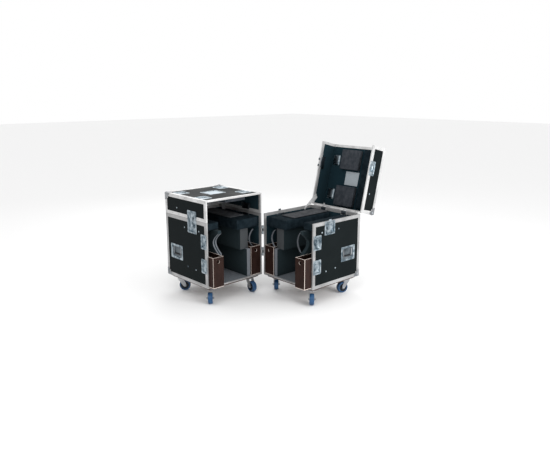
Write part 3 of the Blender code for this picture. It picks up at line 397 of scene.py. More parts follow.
def rounded_loop(rect, radius, segments=4):
    u0, u1, v0, v1 = rect
    points = []
    corners = ((u1 - radius, v1 - radius, 0), (u0 + radius, v1 - radius, 1),
               (u0 + radius, v0 + radius, 2), (u1 - radius, v0 + radius, 3))
    for u, v, quarter in corners:
        for k in range(segments + 1):
            angle = (quarter + k / segments) * pi / 2
            points.append((u + radius * cos(angle), v + radius * sin(angle)))
    return points


def grown(rect, by):
    u0, u1, v0, v1 = rect
    return (u0 - by, u1 + by, v0 - by, v1 + by)


def sunk_sheet(bm, point, loops):
    """A pressed sheet through (rect, corner radius, out) loops, closed at the last one."""
    rings = []
    for rect, radius, out in loops:
        rings.append([bm.verts.new(point(out, u, v)) for u, v in rounded_loop(rect, radius)])
    skin(bm, rings)
    bm.faces.new(rings[-1])


def face_outward(bm, out):
    """Turn an open sheet's faces so that they look along out."""
    outward(bm)
    widest = max(bm.faces, key=lambda face: face.calc_area())
    if widest.normal.dot(Vector(out)) < 0:
        bmesh.ops.reverse_faces(bm, faces=bm.faces)


def thicken(thing, thickness):
    sheet = thing.modifiers.new("sheet", "SOLIDIFY")
    sheet.thickness = thickness
    sheet.offset = -1.0


def slab(bm, points, along):
    """Extrude a flat outline by a vector, closed."""
    face = bm.faces.new([bm.verts.new(point) for point in points])
    grown_by = bmesh.ops.extrude_face_region(bm, geom=[face])["geom"]
    moved = [item for item in grown_by if isinstance(item, bmesh.types.BMVert)]
    bmesh.ops.translate(bm, verts=moved, vec=along)
    outward(bm)


def band(bm, path, a0, a1, thick):
    """A flat strip between a0 and a1 that follows (b, z) points, standing thick in front."""
    rows = [[bm.verts.new((a, b + shift, z)) for a, shift in
             ((a0, -thick), (a1, -thick), (a1, 0.0004), (a0, 0.0004))] for b, z in path]
    skin(bm, rows)
    cap_ends(bm, rows)


def tube(bm, path, radius, sides=10):
    """A round tube through points, with flat ends."""
    rings = []
    path = [Vector(point) for point in path]
    for k, point in enumerate(path):
        ahead = path[min(k + 1, len(path) - 1)] - path[max(k - 1, 0)]
        if k == 0:
            across, up = frame_of(ahead)
        else:
            across = (across - ahead.normalized() * across.dot(ahead.normalized())).normalized()
            up = ahead.normalized().cross(across)
        rings.append(circle(bm, point, across, up, radius, sides))
    skin(bm, rings)
    cap_ends(bm, rings)


# ---------------------------------------------------------------- faces of the box
OUT = {"outer": (1, 0, 0), "spine": (-1, 0, 0), "back": (0, 1, 0), "top": (0, 0, 1)}


def on_face(face):
    """point(out, u, v) of a face: u runs along it and v up, or into the half on top."""
    if face == "outer":
        return lambda out, u, v: (WIDTH + out, u, v)
    if face == "spine":
        return lambda out, u, v: (-out, u, v)
    if face == "back":
        return lambda out, u, v: (u, DEPTH + out, v)
    return lambda out, u, v: (u, v, LID_TOP + out)


def latch_rect():
    return (LATCH_MIDDLE - 0.065, LATCH_MIDDLE + 0.065, BODY - 0.1195, BODY - 0.0005)


def keeper_rect():
    return (LATCH_MIDDLE - 0.065, LATCH_MIDDLE + 0.065, LID_LOW + 0.0005, LID_LOW + 0.0745)


def split_rect(half, height):
    wide = 0.095 if half is RIGHT else 0.078
    return (0.004, 0.004 + wide, height - 0.063, height + 0.063)


HANDLE_RECT = (0.356, 0.536, 0.172, 0.304)


def inset(rect, u_low, u_high, v_low, v_high):
    u0, u1, v0, v1 = rect
    return (u0 + u_low, u1 - u_high, v0 + v_low, v1 - v_high)


def pressed_dish(add, half, name, face, rect, pan, node, level=LEVEL, depth=SUNK, bead=True):
    """A recessed dish with a rolled edge, a deep-drawn pan and mostly a raised bead."""
    bm = bmesh.new()
    loops = [(rect, 0.008, level - 0.0007), (grown(rect, -0.0007), 0.0074, level)]
    if bead:
        top = level + 0.0005
        loops += [(grown(rect, -0.0030), 0.0060, level), (grown(rect, -0.0036), 0.0056, top),
                  (grown(rect, -0.0050), 0.0050, top), (grown(rect, -0.0056), 0.0048, level)]
    loops += [(grown(pan, 0.0004), 0.0090, level - 0.0001),
              (grown(pan, -0.0005), 0.0086, level - 0.0012),
              (grown(pan, -0.0013), 0.0080, level - depth + 0.0018),
              (grown(pan, -0.0035), 0.0070, level - depth)]
    sunk_sheet(bm, on_face(face), loops)
    face_outward(bm, OUT[face])
    made = add(half, name, bm, ZINC, "zinc", (f"{half.name}_{node}",), PRESSED)
    thicken(made, 0.0009)


def rivets_round(bm, face, rect, by=0.0085, level=LEVEL):
    point = on_face(face)
    u0, u1, v0, v1 = grown(rect, -by)
    for u in (u0, u1):
        for v in (v0, v1):
            rivet(bm, point(level, u, v), OUT[face], 0.0032, 0.0012)


def butterfly(half, name, face, u, v, node):
    """A twist handle: a dished disc with two butterfly lobes and a rib across it."""
    point = on_face(face)
    out = OUT[face]
    base = LEVEL - SUNK + 0.0006
    bm = bmesh.new()
    turned(bm, point(base, u, v), out,
           [(0.0, 0.0), (0.0255, 0.0), (0.0260, 0.0012), (0.0250, 0.0030), (0.0225, 0.0036),
            (0.0205, 0.0026), (0.0120, 0.0024), (0.0, 0.0024)], 28)
    for side in (-1, 1):
        lobe = [(0.0035 * side + 0.0150 * sin(pi * k / 8) * side, 0.0215 * cos(pi * k / 8))
                for k in range(9)]
        points = [point(base + 0.0040, u + du, v + dv) for du, dv in lobe]
        slab(bm, points, Vector(out) * 0.0020)
    rib = base + 0.0055
    tube(bm, [point(rib, u, v - 0.0205), point(rib, u, v + 0.0205)], 0.0026)
    turned(bm, point(rib, u, v), out, [(0.0046, 0.0), (0.0044, 0.0022), (0.0, 0.0030)], 14)
    outward(bm)
    finish_piece(f"{half.name}_{name}", bm, half.body, ZINC, f"{half.name}_{node}_turn",
                 (f"{half.name}_{node}",))


def tongue(bm, face):
    """The hooked latch tongue over the seam, in the middle of a lid latch."""
    point = on_face(face)
    half_width = 0.0155
    side = [(LEVEL - 0.0030, BODY - 0.022), (LEVEL + 0.0020, BODY - 0.018),
            (LEVEL + 0.0032, BODY - 0.004), (LEVEL + 0.0032, BODY + 0.008),
            (LEVEL + 0.0026, BODY + 0.0125), (LEVEL + 0.0012, BODY + 0.0120),
            (LEVEL + 0.0012, BODY - 0.006), (LEVEL - 0.0040, BODY - 0.022)]
    points = [point(out, LATCH_MIDDLE - half_width, z) for out, z in side]
    slab(bm, points, (0, 2 * half_width, 0))
    turned(bm, point(LEVEL + 0.0020, LATCH_MIDDLE, BODY - 0.009), OUT[face],
           [(0.0050, 0.0), (0.0048, 0.0012), (0.0, 0.0020)], 14)


def recess_hardware(half):
    """Every latch, keeper and split dish, with its rivets, tongue and handle."""
    rivets = bmesh.new()
    lid_rivets = bmesh.new()
    tongues = bmesh.new()
    for face in ("outer", "spine"):
        rect = latch_rect()
        pan = inset(rect, 0.014, 0.014, 0.014, 0.0065)
        pressed_dish(on_body, half, f"{face}_latch_plate", face, rect, pan,
                     f"{face}_lid_latch_dish")
        rivets_round(rivets, face, rect, 0.0070)
        tongue(tongues, face)
        middle = (pan[2] + pan[3]) / 2
        butterfly(half, f"{face}_butterfly", face, LATCH_MIDDLE, middle, f"{face}_lid_latch")
        rect = keeper_rect()
        pan = inset(rect, 0.034, 0.034, 0.0065, 0.020)
        pressed_dish(on_lid, half, f"{face}_keeper_plate", face, rect, pan,
                     f"{face}_lid_keeper")
        rivets_round(lid_rivets, face, rect, 0.0085)
        hook = on_face(face)
        solid_box(lid_rivets, hook(-0.006, LATCH_MIDDLE - 0.013, LID_LOW + 0.012),
                  hook(LEVEL - 0.0005, LATCH_MIDDLE + 0.013, LID_LOW + 0.017), 0.0012)
    kind = "latch" if half is RIGHT else "keeper"
    for where, height in zip(("lower", "upper"), SPLIT_HEIGHTS):
        rect = split_rect(half, height)
        pan = inset(rect, 0.006, 0.013, 0.014, 0.014)
        pressed_dish(on_body, half, f"{where}_split_plate", "outer", rect, pan,
                     f"{where}_split_{kind}_dish", bead=False)
        for v in (rect[2] + 0.0065, rect[3] - 0.0065):
            for u in (rect[0] + 0.012, rect[1] - 0.0075):
                rivet(rivets, on_face("outer")(LEVEL, u, v), OUT["outer"], 0.0032, 0.0012)
        if half is RIGHT:
            butterfly(half, f"{where}_split_butterfly", "outer", (pan[0] + pan[1]) / 2,
                      height, f"{where}_split_latch")
        else:
            solid_box(tongues, (WIDTH - 0.0085, 0.0125, height - 0.016),
                      (WIDTH + 0.0012, 0.0185, height + 0.016), 0.0014)
    outward(tongues)
    on_body(half, "latch_tongues", tongues, ZINC)
    on_body(half, "plate_rivets", rivets, CASTOR_STEEL)
    outward(lid_rivets)
    on_lid(half, "keeper_hooks", lid_rivets, ZINC)


# ---------------------------------------------------------------- grips
def grip(half):
    """The handle dish and its sprung bail with a rubber sleeve."""
    name = half.name
    pan = inset(HANDLE_RECT, 0.018, 0.018, 0.018, 0.018)
    pressed_dish(on_body, half, "handle_plate", "outer", HANDLE_RECT, pan, "handle_dish",
                 level=0.0006, depth=0.0128)
    # A thin sheet of darkened zinc on the pan floor: painted shade in the handle recess
    floor = bmesh.new()
    b0, b1, z0, z1 = grown(pan, -0.0045)
    solid_box(floor, (WIDTH - 0.0121, b0, z0), (WIDTH - 0.0117, b1, z1))
    on_body(half, "handle_pan_floor", floor, SHADE_PAINTED_ZINC)
    lugs = bmesh.new()
    rivets_round(lugs, "outer", HANDLE_RECT, 0.0090, 0.0006)
    top = pan[3]
    middle = (pan[0] + pan[1]) / 2
    for side in (-1, 1):
        b = middle + side * 0.052
        solid_box(lugs, (WIDTH - 0.0120, b - 0.0085, top - 0.0165),
                  (WIDTH - 0.0098, b + 0.0085, top - 0.0015), 0.0008)
        tube(lugs, [(WIDTH - 0.0062, b + side * 0.0045, top - 0.009),
                    (WIDTH - 0.0062, b + side * 0.0105, top - 0.009)], 0.0042, 12)
    outward(lugs)
    on_body(half, "handle_lugs", lugs, ZINC)
    out = WIDTH - 0.0055
    pivot = top - 0.009
    arms = bmesh.new()
    low = pivot - 0.0620
    for side in (-1, 1):
        path = [(out, middle + side * 0.0560, pivot), (out, middle + side * 0.0520, pivot),
                (out, middle + side * 0.0520, low + 0.010)]
        path += [(out, middle + side * (0.0520 - 0.010 * (1 - cos(k * pi / 8))),
                  low + 0.010 - 0.010 * sin(k * pi / 8)) for k in range(1, 5)]
        tube(arms, path, 0.0030, 10)
    finish_piece(f"{name}_grip_arms", arms, half.body, CASTOR_STEEL, f"{name}_grip")
    sleeve = bmesh.new()
    across = [(-0.0445, 0.0030), (-0.0440, 0.0048), (-0.0400, 0.0056)]
    across += [(-0.0300 + 0.01 * k, 0.0050 if k % 2 else 0.0056) for k in range(7)]
    across += [(0.0400, 0.0056), (0.0440, 0.0048), (0.0445, 0.0030)]
    profile = [(0.0, across[0][0])] + [(radius, at) for at, radius in across]
    profile += [(0.0, across[-1][0])]
    turned(sleeve, (out, middle, low), (0, 1, 0), profile, 16)
    outward(sleeve)
    finish_piece(f"{name}_grip_sleeve", sleeve, half.body, BLACK_RUBBER, f"{name}_grip",
                 (f"{name}_handle_grip",))


# ---------------------------------------------------------------- extrusions
def inner_legs(half):
    """The inner legs of the channels, along the rims and the open front edges."""
    near, far, leg = 0.0127, 0.0131, 0.026
    for part, add, material, low, high, rim in (
            ("half", on_body, ALUMINIUM, 0.0150, BODY - 0.0005, 1),
            ("lid", on_lid, LIT_LID_ALUMINIUM, LID_LOW + 0.0005, LID_TOP - far, -1)):
        bm = bmesh.new()
        edge = (high - leg, high) if rim > 0 else (low, low + leg)
        rest = (low, high - leg) if rim > 0 else (low + leg, high)
        for a0, a1 in ((near, far), (WIDTH - far, WIDTH - near)):
            solid_box(bm, (a0, 0.0008, edge[0]), (a1, DEPTH - far, edge[1]))
            solid_box(bm, (a0, 0.0008, rest[0]), (a1, leg - 0.002, rest[1]))
        solid_box(bm, (far, DEPTH - far, edge[0]), (WIDTH - far, DEPTH - near, edge[1]))
        if rim < 0:
            solid_box(bm, (far, 0.0008, LID_TOP - far), (WIDTH - far, leg - 0.002, LID_TOP - near))
        add(half, f"{part}_inner_legs", bm, material, "aluminium")


def hinge_roll(half):
    """A continuous hinge roll behind the seam, between the lid's hinges."""
    bm = bmesh.new()
    back = DEPTH + HINGE_BEHIND
    stops = [0.040]
    for a in HINGE_PLACES:
        stops += [a - HINGE_REACH, a + HINGE_REACH]
    stops.append(WIDTH - 0.040)
    for a0, a1 in zip(stops[::2], stops[1::2]):
        tube(bm, [(a0, back, HINGE_UP), (a1, back, HINGE_UP)], 0.0052, 14)
        solid_box(bm, (a0, DEPTH + 0.0002, 0.540), (a1, DEPTH + 0.0014, 0.5650))
        solid_box(bm, (a0, DEPTH + 0.0008, 0.5630), (a1, back - 0.0030, 0.5650))
    on_body(half, "hinge_roll", bm, ALUMINIUM, "aluminium")


def strip_rivets(bm, face, low, high, avoid):
    """Rivets along the middle of the strips round a face's rectangle."""
    point = on_face(face)
    (u0, v0), (u1, v1) = low, high
    in_by = STRIP / 2
    spots = []
    across = 6
    up = max(2, round((v1 - v0) / 0.1))
    for k in range(across + 1):
        u = u0 + in_by + (u1 - u0 - 2 * in_by) * k / across
        spots += [(u, v0 + in_by), (u, v1 - in_by)]
    for k in range(1, up):
        v = v0 + in_by + (v1 - v0 - 2 * in_by) * k / up
        spots += [(u0 + in_by, v), (u1 - in_by, v)]
    for u, v in spots:
        if not any(a0 - 0.006 < u < a1 + 0.006 and b0 - 0.006 < v < b1 + 0.006
                   for a0, a1, b0, b1 in avoid):
            rivet(bm, point(0.0, u, v), OUT[face])


def corner_pair(low, high):
    """Where two ball corners cover a strip that runs across the half."""
    return [(0.0, CORNER_LEG, low, high), (WIDTH - CORNER_LEG, WIDTH, low, high)]


def hinge_rects(above):
    low, high = (0.0065, 0.036) if above else (-0.036, -0.0065)
    return [(a - HINGE_REACH, a + HINGE_REACH, HINGE_UP + low, HINGE_UP + high)
            for a in HINGE_PLACES]


def hinge_rivets(bm, above):
    """Three rivets through each leaf of the lid hinges."""
    shift = 0.004 if above else -0.004
    for a0, a1, z0, z1 in hinge_rects(above):
        for u in (a0 + 0.010, (a0 + a1) / 2, a1 - 0.010):
            rivet(bm, on_face("back")(0.0023, u, (z0 + z1) / 2 + shift), OUT["back"], 0.0028)


def extrusion_rivets(half):
    """Rivets along the strips, the book hinge leaves and the lid hinge leaves."""
    body = bmesh.new()
    splits = [split_rect(half, height) for height in SPLIT_HEIGHTS]
    corner = (DEPTH - CORNER_LEG, DEPTH, 0.0, CORNER_LEG)
    avoid = [latch_rect(), corner]
    strip_rivets(body, "outer", (0.0, 0.0), (DEPTH, BODY), avoid + splits)
    leaves = [(0.008, 0.048, h - 0.042, h + 0.042) for h in BOOK_HEIGHTS]
    strip_rivets(body, "spine", (0.0, 0.0), (DEPTH, BODY), avoid + leaves)
    strip_rivets(body, "back", (0.0, 0.0), (WIDTH, BODY),
                 corner_pair(0.0, CORNER_LEG) + hinge_rects(False))
    for h in BOOK_HEIGHTS:
        for u in (0.020, 0.038):
            for v in (h - 0.030, h, h + 0.030):
                rivet(body, on_face("spine")(0.0026, u, v), OUT["spine"], 0.0028, 0.0010)
    hinge_rivets(body, False)
    on_body(half, "body_rivets", body, CASTOR_STEEL, "aluminium")
    lid = bmesh.new()
    corner = (DEPTH - CORNER_LEG, DEPTH, LID_TOP - CORNER_LEG, LID_TOP)
    for face in ("outer", "spine"):
        strip_rivets(lid, face, (0.0, LID_LOW), (DEPTH, LID_TOP), [keeper_rect(), corner])
    strip_rivets(lid, "back", (0.0, LID_LOW), (WIDTH, LID_TOP),
                 corner_pair(LID_TOP - CORNER_LEG, LID_TOP) + hinge_rects(True))
    strip_rivets(lid, "top", (0.0, 0.0), (WIDTH, DEPTH), corner_pair(DEPTH - CORNER_LEG, DEPTH))
    hinge_rivets(lid, True)
    on_lid(half, "lid_rivets", lid, CASTOR_STEEL, "aluminium")


def book_knuckles(half):
    """Knuckles of the book hinges, bright on the left half and dark on the right."""
    bm = bmesh.new()
    out = SETBACK - CLOSED_GAP / 2
    for h in BOOK_HEIGHTS:
        spans = ((h - 0.0395, h - 0.0145), (h + 0.0145, h + 0.0395)) if half is LEFT else \
            ((h - 0.0134, h + 0.0134),)
        for low, high in spans:
            turned(bm, (-out, -CLOSED_GAP / 2, low), (0, 0, 1),
                   [(0.0062, 0.0), (0.0079, 0.0004), (0.0079, high - low - 0.0004),
                    (0.0062, high - low)], 20)
    on_body(half, "book_knuckles", bm, ZINC if half is LEFT else STEEL_BLUE)


def corner_balls(half):
    """Balls, three plates and their rivets on each corner at the back."""
    leg = [(0.0, 0.0), (0.062, 0.0), (0.062, 0.016), (0.038, 0.038), (0.016, 0.062),
           (0.0, 0.062)]
    for part, add, z, up in (("half", on_body, 0.0, 1), ("lid", on_lid, LID_TOP, -1)):
        bm = bmesh.new()
        plates = bmesh.new()
        for edge, side in ((0.0, 1), (WIDTH, -1)):
            centre = (edge + side * 0.0130, DEPTH - 0.0130, z + up * 0.0130)
            bmesh.ops.create_uvsphere(bm, u_segments=28, v_segments=18, radius=0.0205,
                                      matrix=Matrix.Translation(centre))
            face = "spine" if side > 0 else "outer"
            point = on_face(face)
            slab(plates, [point(0.0010, DEPTH - u, z + up * v) for u, v in leg],
                 Vector(OUT[face]) * 0.0010)
            point = on_face("back")
            slab(plates, [point(0.0010, edge + side * u, z + up * v) for u, v in leg],
                 (0, 0.0010, 0))
            slab(plates, [(edge + side * u, DEPTH - v, z - up * 0.0010) for u, v in leg],
                 (0, 0, -up * 0.0010))
            for p, q in ((0.036, 0.012), (0.036, 0.036), (0.012, 0.036)):
                for at, out in (
                        (on_face(face)(0.0020, DEPTH - p, z + up * q), OUT[face]),
                        (on_face("back")(0.0020, edge + side * p, z + up * q), OUT["back"]),
                        ((edge + side * p, DEPTH - q, z - up * 0.0020), (0, 0, -up))):
                    rivet(bm, at, out, 0.0030, 0.0011)
        add(half, f"{part}_corner_balls", bm, CORNER_ZINC)
        outward(plates)
        add(half, f"{part}_corner_plates", plates, CORNER_ZINC)


def panel_bolts(half):
    """Bolt heads on the outer panel, where the partitions and latches are fixed."""
    spots = [(0.318, 0.480), (0.109, 0.478), (0.284, 0.137), (0.166, 0.131)]
    bm = bmesh.new()
    for b, z in spots:
        bolt_head(bm, on_face("outer")(-SKIN, b, z), OUT["outer"])
        bolt_head(bm, on_face("spine")(-SKIN, b, z), OUT["spine"])
    on_body(half, "panel_bolts", bm, ZINC)
    bm = bmesh.new()
    bolt_head(bm, on_face("outer")(-SKIN, 0.425, 0.636), OUT["outer"])
    on_lid(half, "lid_bolt", bm, ZINC)


# ---------------------------------------------------------------- stays and hinges
STAY_LENGTH = 0.1885
STAY_PIN = (0.515, 0.587)
STAY_PLANE = 0.0134


def lid_stay(half):
    """The tapered plate that stops the lid, on its pin inside the spine wall."""
    name = half.name
    closed_pin = Vector((STAY_PLANE, *STAY_PIN))
    hinge = JOINTS[f"{name}_lid_hinge"]
    joint = JOINTS[f"{name}_stay_pivot"]
    at = Vector(joint["pos_m"])
    angle = -radians(hinge["range_deg"][0]) / 2
    swing = Matrix.Rotation(angle, 4, Vector(hinge["axis"]))
    turned_body = half.body.to_3x3().to_4x4()
    matrix = Matrix.Translation(at) @ swing @ turned_body @ Matrix.Translation(-closed_pin)
    b, z = STAY_PIN
    far, near = 0.008, 0.040
    outline = [(b - far, z + 0.004), (b - far + 0.004, z + 0.008), (b + near - 0.006, z + 0.008),
               (b + near, z + 0.002), (b + near, z - 0.058), (b + far, z - 0.140),
               (b + far, z - STAY_LENGTH + 0.004), (b + far - 0.004, z - STAY_LENGTH),
               (b - far + 0.004, z - STAY_LENGTH), (b - far, z - STAY_LENGTH + 0.004)]
    bm = bmesh.new()
    slab(bm, [(STAY_PLANE, u, v) for u, v in outline], (0.0015, 0, 0))
    finish_piece(f"{name}_stay_strap", bm, matrix, STRAP, f"{name}_stay",
                 (f"{name}_lid_stay",), PRESSED)


def dish_backs(half):
    """Pressed covers inside the spine wall, behind the lid latch and its keeper."""
    for part, add, rect in (("half", on_body, grown(latch_rect(), -0.012)),
                            ("lid", on_lid, grown(keeper_rect(), -0.004))):
        bm = bmesh.new()
        u0, u1, v0, v1 = rect
        solid_box(bm, (INNER, u0, v0), (0.0128, u1, v1), 0.0008)
        solid_box(bm, (0.0120, u0 + 0.014, v0 + 0.010), (0.0185, u1 - 0.014, v1 - 0.010),
                  0.003, 3)
        add(half, f"{part}_dish_back", bm, STEEL_BLUE)


def lid_hinge_blocks(half):
    """Stop-hinge boxes let into the body's back rim, seen from inside."""
    bm = bmesh.new()
    plates = bmesh.new()
    for a in HINGE_PLACES:
        solid_box(bm, (a - 0.028, 0.5835, 0.520), (a + 0.028, 0.5895, 0.5664), 0.0012)
        solid_box(bm, (a - 0.028, 0.5890, 0.5656), (a + 0.028, 0.6026, 0.5664), 0.0002)
        solid_box(plates, (a - 0.034, 0.5850, 0.516), (a - 0.0285, 0.5900, 0.5662), 0.0008)
        solid_box(plates, (a + 0.0285, 0.5850, 0.516), (a + 0.034, 0.5900, 0.5662), 0.0008)
        for da in (-0.018, 0.018):
            rivet(plates, (a + da, 0.5835, 0.531), (0, -1, 0), 0.0036, 0.0012)
    on_body(half, "hinge_blocks", bm, STEEL_BLUE)
    outward(plates)
    on_body(half, "hinge_block_edges", plates, ALUMINIUM, "aluminium")


def spine_catch(half):
    """Two dark plates with rollers on the lid's spine rim, bridged over the latch tongue."""
    bm = bmesh.new()
    reach, notch = 0.040, 0.019
    low, high = LID_LOW + 0.0010, LID_LOW + 0.0200
    for side in (-1, 1):
        b0, b1 = sorted((LATCH_MIDDLE + side * notch, LATCH_MIDDLE + side * reach))
        solid_box(bm, (-0.0092, b0, low), (-0.0026, b1, high + 0.0040), 0.0012)
        solid_box(bm, (-0.0060, b0 + 0.001, LID_LOW - 0.0003),
                  (0.0116, b1 - 0.001, LID_LOW - 0.0001))
        roller = LATCH_MIDDLE + side * (notch + reach) / 2
        tube(bm, [(-0.0084, roller - 0.004, low + 0.0095),
                  (-0.0084, roller + 0.004, low + 0.0095)], 0.0022)
    solid_box(bm, (-0.0074, LATCH_MIDDLE - notch - 0.001, high - 0.0052),
              (-0.0027, LATCH_MIDDLE + notch + 0.001, high - 0.0002), 0.0012)
    outward(bm)
    on_lid(half, "spine_catch", bm, STEEL_BLUE)


def arc_straps(half):
    """Webbing loops in the lightened felt-edge colour, which is painted light: one in the left
    half, two beside the right half's partitions.
    """
    bm = bmesh.new()
    if half is LEFT:
        spans = [(0.0805, -0.045, 0.272, 0.432)]
    else:
        spans = [(0.1255, 0.045, 0.272, 0.432), (0.4415, 0.040, 0.290, 0.468)]
    for a, bulge, low, high in spans:
        path = []
        for k in range(17):
            share = k / 16
            path.append((a - bulge * sin(pi * share) ** 0.8, low + (high - low) * share))
        rows = []
        for at, z in path:
            rows.append([bm.verts.new((at + da, b, z)) for da, b in
                         ((0.0, 0.018), (0.0, 0.034), (0.0018, 0.034), (0.0018, 0.018))])
        skin(bm, rows)
        cap_ends(bm, rows)
    outward(bm)
    on_body(half, "webbing_loops", bm, LIT_FELT_EDGE, "grey_felt")


# ---------------------------------------------------------------- castors
WHEEL_PLACES = {"front_spine": (0, 0), "back_spine": (0, 1), "front_outer": (1, 0),
                "back_outer": (1, 1)}


def wheel_matrix(name):
    """Places a wheel turned on +Z at its spin joint."""
    joint = JOINTS[f"{name}_wheel_spin"]
    axis = Vector(joint["axis"])
    turn = axis.to_track_quat("Z", "Y").to_matrix().to_4x4()
    return Matrix.Translation(joint["pos_m"]) @ turn


def castor(name):
    """A tyre, its spoked core, the axle nuts and the ball race."""
    matrix = wheel_matrix(name)
    tread = bmesh.new()
    turned(tread, (0, 0, 0), (0, 0, 1),
           [(0.0375, -0.0195), (0.0400, -0.0203), (0.0452, -0.0200), (0.0481, -0.0175),
            (0.0497, -0.0110), (0.0500, 0.0), (0.0497, 0.0110), (0.0481, 0.0175),
            (0.0452, 0.0200), (0.0400, 0.0203), (0.0375, 0.0195), (0.0370, 0.0),
            (0.0375, -0.0195)], 48)
    bmesh.ops.remove_doubles(tread, verts=tread.verts, dist=0.00005)
    outward(tread)
    finish_piece(f"{name}_tread", tread, matrix, BLUE_TREAD, f"{name}_roller",
                 (f"{name}_wheel",))
    core = bmesh.new()
    turned(core, (0, 0, 0), (0, 0, 1),
           [(0.0062, -0.0210), (0.0125, -0.0210), (0.0135, -0.0202), (0.0145, -0.0115),
            (0.0330, -0.0105), (0.0345, -0.0180), (0.0358, -0.0190), (0.0374, -0.0188),
            (0.0374, 0.0188), (0.0358, 0.0190), (0.0345, 0.0180), (0.0330, 0.0105),
            (0.0145, 0.0115), (0.0135, 0.0202), (0.0125, 0.0210), (0.0062, 0.0210),
            (0.0062, -0.0210)], 40)
    for k in range(6):
        angle = k * pi / 3
        along = Vector((cos(angle), sin(angle), 0))
        side = Vector((-sin(angle), cos(angle), 0)) * 0.0022
        low, high = 0.0105, 0.0175
        points = [along * 0.0140 - side, along * 0.0335 - side,
                  along * 0.0335 + side, along * 0.0140 + side]
        for face in (-1, 1):
            slab(core, [p + Vector((0, 0, face * low)) for p in points],
                 (0, 0, face * (high - low)))
    bmesh.ops.remove_doubles(core, verts=core.verts, dist=0.00005)
    outward(core)
    finish_piece(f"{name}_core", core, matrix, CORE, f"{name}_roller")
    nuts = bmesh.new()
    for side in (-1, 1):
        turned(nuts, (0, 0, side * 0.0266), (0, 0, side),
               [(0.0110, 0.0), (0.0110, 0.0012), (0.0078, 0.0013), (0.0078, 0.0056),
                (0.0066, 0.0062), (0.0, 0.0062)], 6 if side > 0 else 18)
    outward(nuts)
    finish_piece(f"{name}_axle_nuts", nuts, matrix, CASTOR_STEEL, f"{name}_swivel")
    race = bmesh.new()
    turned(race, JOINTS[f"{name}_swivel_hinge"]["pos_m"], (0, 0, -1),
           [(0.0300, 0.0004), (0.0312, 0.0020), (0.0312, 0.0050), (0.0300, 0.0062),
            (0.0300, 0.0074), (0.0318, 0.0084), (0.0318, 0.0108), (0.0292, 0.0122)], 36)
    finish_piece(f"{name}_race", race, Matrix.Identity(4), CASTOR_STEEL, f"{name}_swivel")


def castor_plates(half):
    bm = bmesh.new()
    for ia, ib in WHEEL_PLACES.values():
        a = CASTOR_IN if ia == 0 else WIDTH - CASTOR_IN
        b = CASTOR_IN if ib == 0 else DEPTH - CASTOR_IN
        for da in (-0.040, 0.040):
            for db in (-0.032, 0.032):
                turned(bm, (a + da, b + db, -0.0215), (0, 0, -1),
                       [(0.0085, 0.0), (0.0085, 0.0010), (0.0064, 0.0011), (0.0064, 0.0050),
                        (0.0, 0.0054)], 6)
    outward(bm)
    on_body(half, "plate_bolts", bm, CASTOR_STEEL, "castor_zinc")


# ---------------------------------------------------------------- interior
def felt_box(half, name, low, high, material, rounding=0.003, replaces=()):
    bm = bmesh.new()
    solid_box(bm, low, high, rounding, 3)
    on_body(half, name, bm, material, "grey_felt", replaces)


def interior(half):
    """Floor mat, partitions, upper block and linings."""
    low, shelf, top = 0.0111, 0.2621, 0.4777
    front = 0.0146
    back = BACK_WALL
    felt_box(half, "floor_mat", (CHANNEL, 0.0143, low), (WIDTH - CHANNEL, back, 0.0141),
             CARPET, 0.0008)
    # The partitions and the block are in the darkened felt: painted shade
    felt_box(half, "spine_partition", (0.127, front, 0.0138), (0.163, back, shelf), FELT,
             replaces=(f"{half.name}_felt_insert",))
    felt_box(half, "spine_block", (0.127, 0.045, shelf - 0.004),
             (0.214, back - 0.001, 0.4457), FELT)
    outline = [(back, 0.0138), (front, 0.0138), (front, shelf)]
    for k in range(17):
        share = k / 16
        outline.append((front + (0.088 - front) * sin(pi * share),
                        shelf + 0.012 + (0.4525 - shelf - 0.012) * share))
    outline += [(front, top), (back, top)]
    bm = bmesh.new()
    slab(bm, [(0.443, b, z) for b, z in outline], (0.036, 0, 0))
    sharp = [edge for edge in bm.edges if edge.calc_face_angle(0) > radians(60)]
    bmesh.ops.bevel(bm, geom=sharp, offset=0.0028, segments=3, profile=0.5, affect="EDGES")
    on_body(half, "outer_partition", bm, FELT, "grey_felt")
    # Lighter felt strips on the partitions' front edges and the shelf front: painted light where
    # they face the light
    edge = bmesh.new()
    if half is LEFT:
        for a0, a1 in ((0.4425, 0.4545), (0.4675, 0.4795)):
            band(edge, outline[2:-2], a0, a1, 0.0016)
    solid_box(edge, (0.1265, 0.0134, 0.0145), (0.1635, 0.0150, shelf + 0.0004), 0.0006)
    solid_box(edge, (0.1265, 0.0134, shelf - 0.0002), (0.1635, 0.0420, shelf + 0.0008), 0.0004)
    outward(edge)
    on_body(half, "partition_edges", edge, LIT_FELT_EDGE, "grey_felt")
    # The block's front face in lightened felt: painted light on the face turned to the light
    felt_box(half, "block_front", (0.1265, 0.0438, shelf + 0.0010),
             (0.2140, 0.0454, 0.4450), HALF_LIT_FELT, 0.0006)
    felt_box(half, "back_lining", (CHANNEL, back + 0.0003, LINING_LOW),
             (WIDTH - CHANNEL, back + 0.0014, LINING_TOP), LINING, 0.0004)
    near, far = LINING_FACES
    felt_box(half, "spine_lining", (near, 0.0150, LINING_LOW), (far, back, LINING_TOP),
             LINING, 0.0004)
    bm = bmesh.new()
    b0, b1, z0, z1 = grown(inset(HANDLE_RECT, 0.018, 0.018, 0.018, 0.018), 0.002)
    for start, end in (((0.0150, LINING_LOW), (b0, LINING_TOP)),
                       ((b1, LINING_LOW), (back, LINING_TOP)),
                       ((b0, LINING_LOW), (b1, z0)), ((b0, z1), (b1, LINING_TOP))):
        solid_box(bm, (WIDTH - far, *start), (WIDTH - near, *end))
    on_body(half, "outer_lining", bm, LINING, "grey_felt")


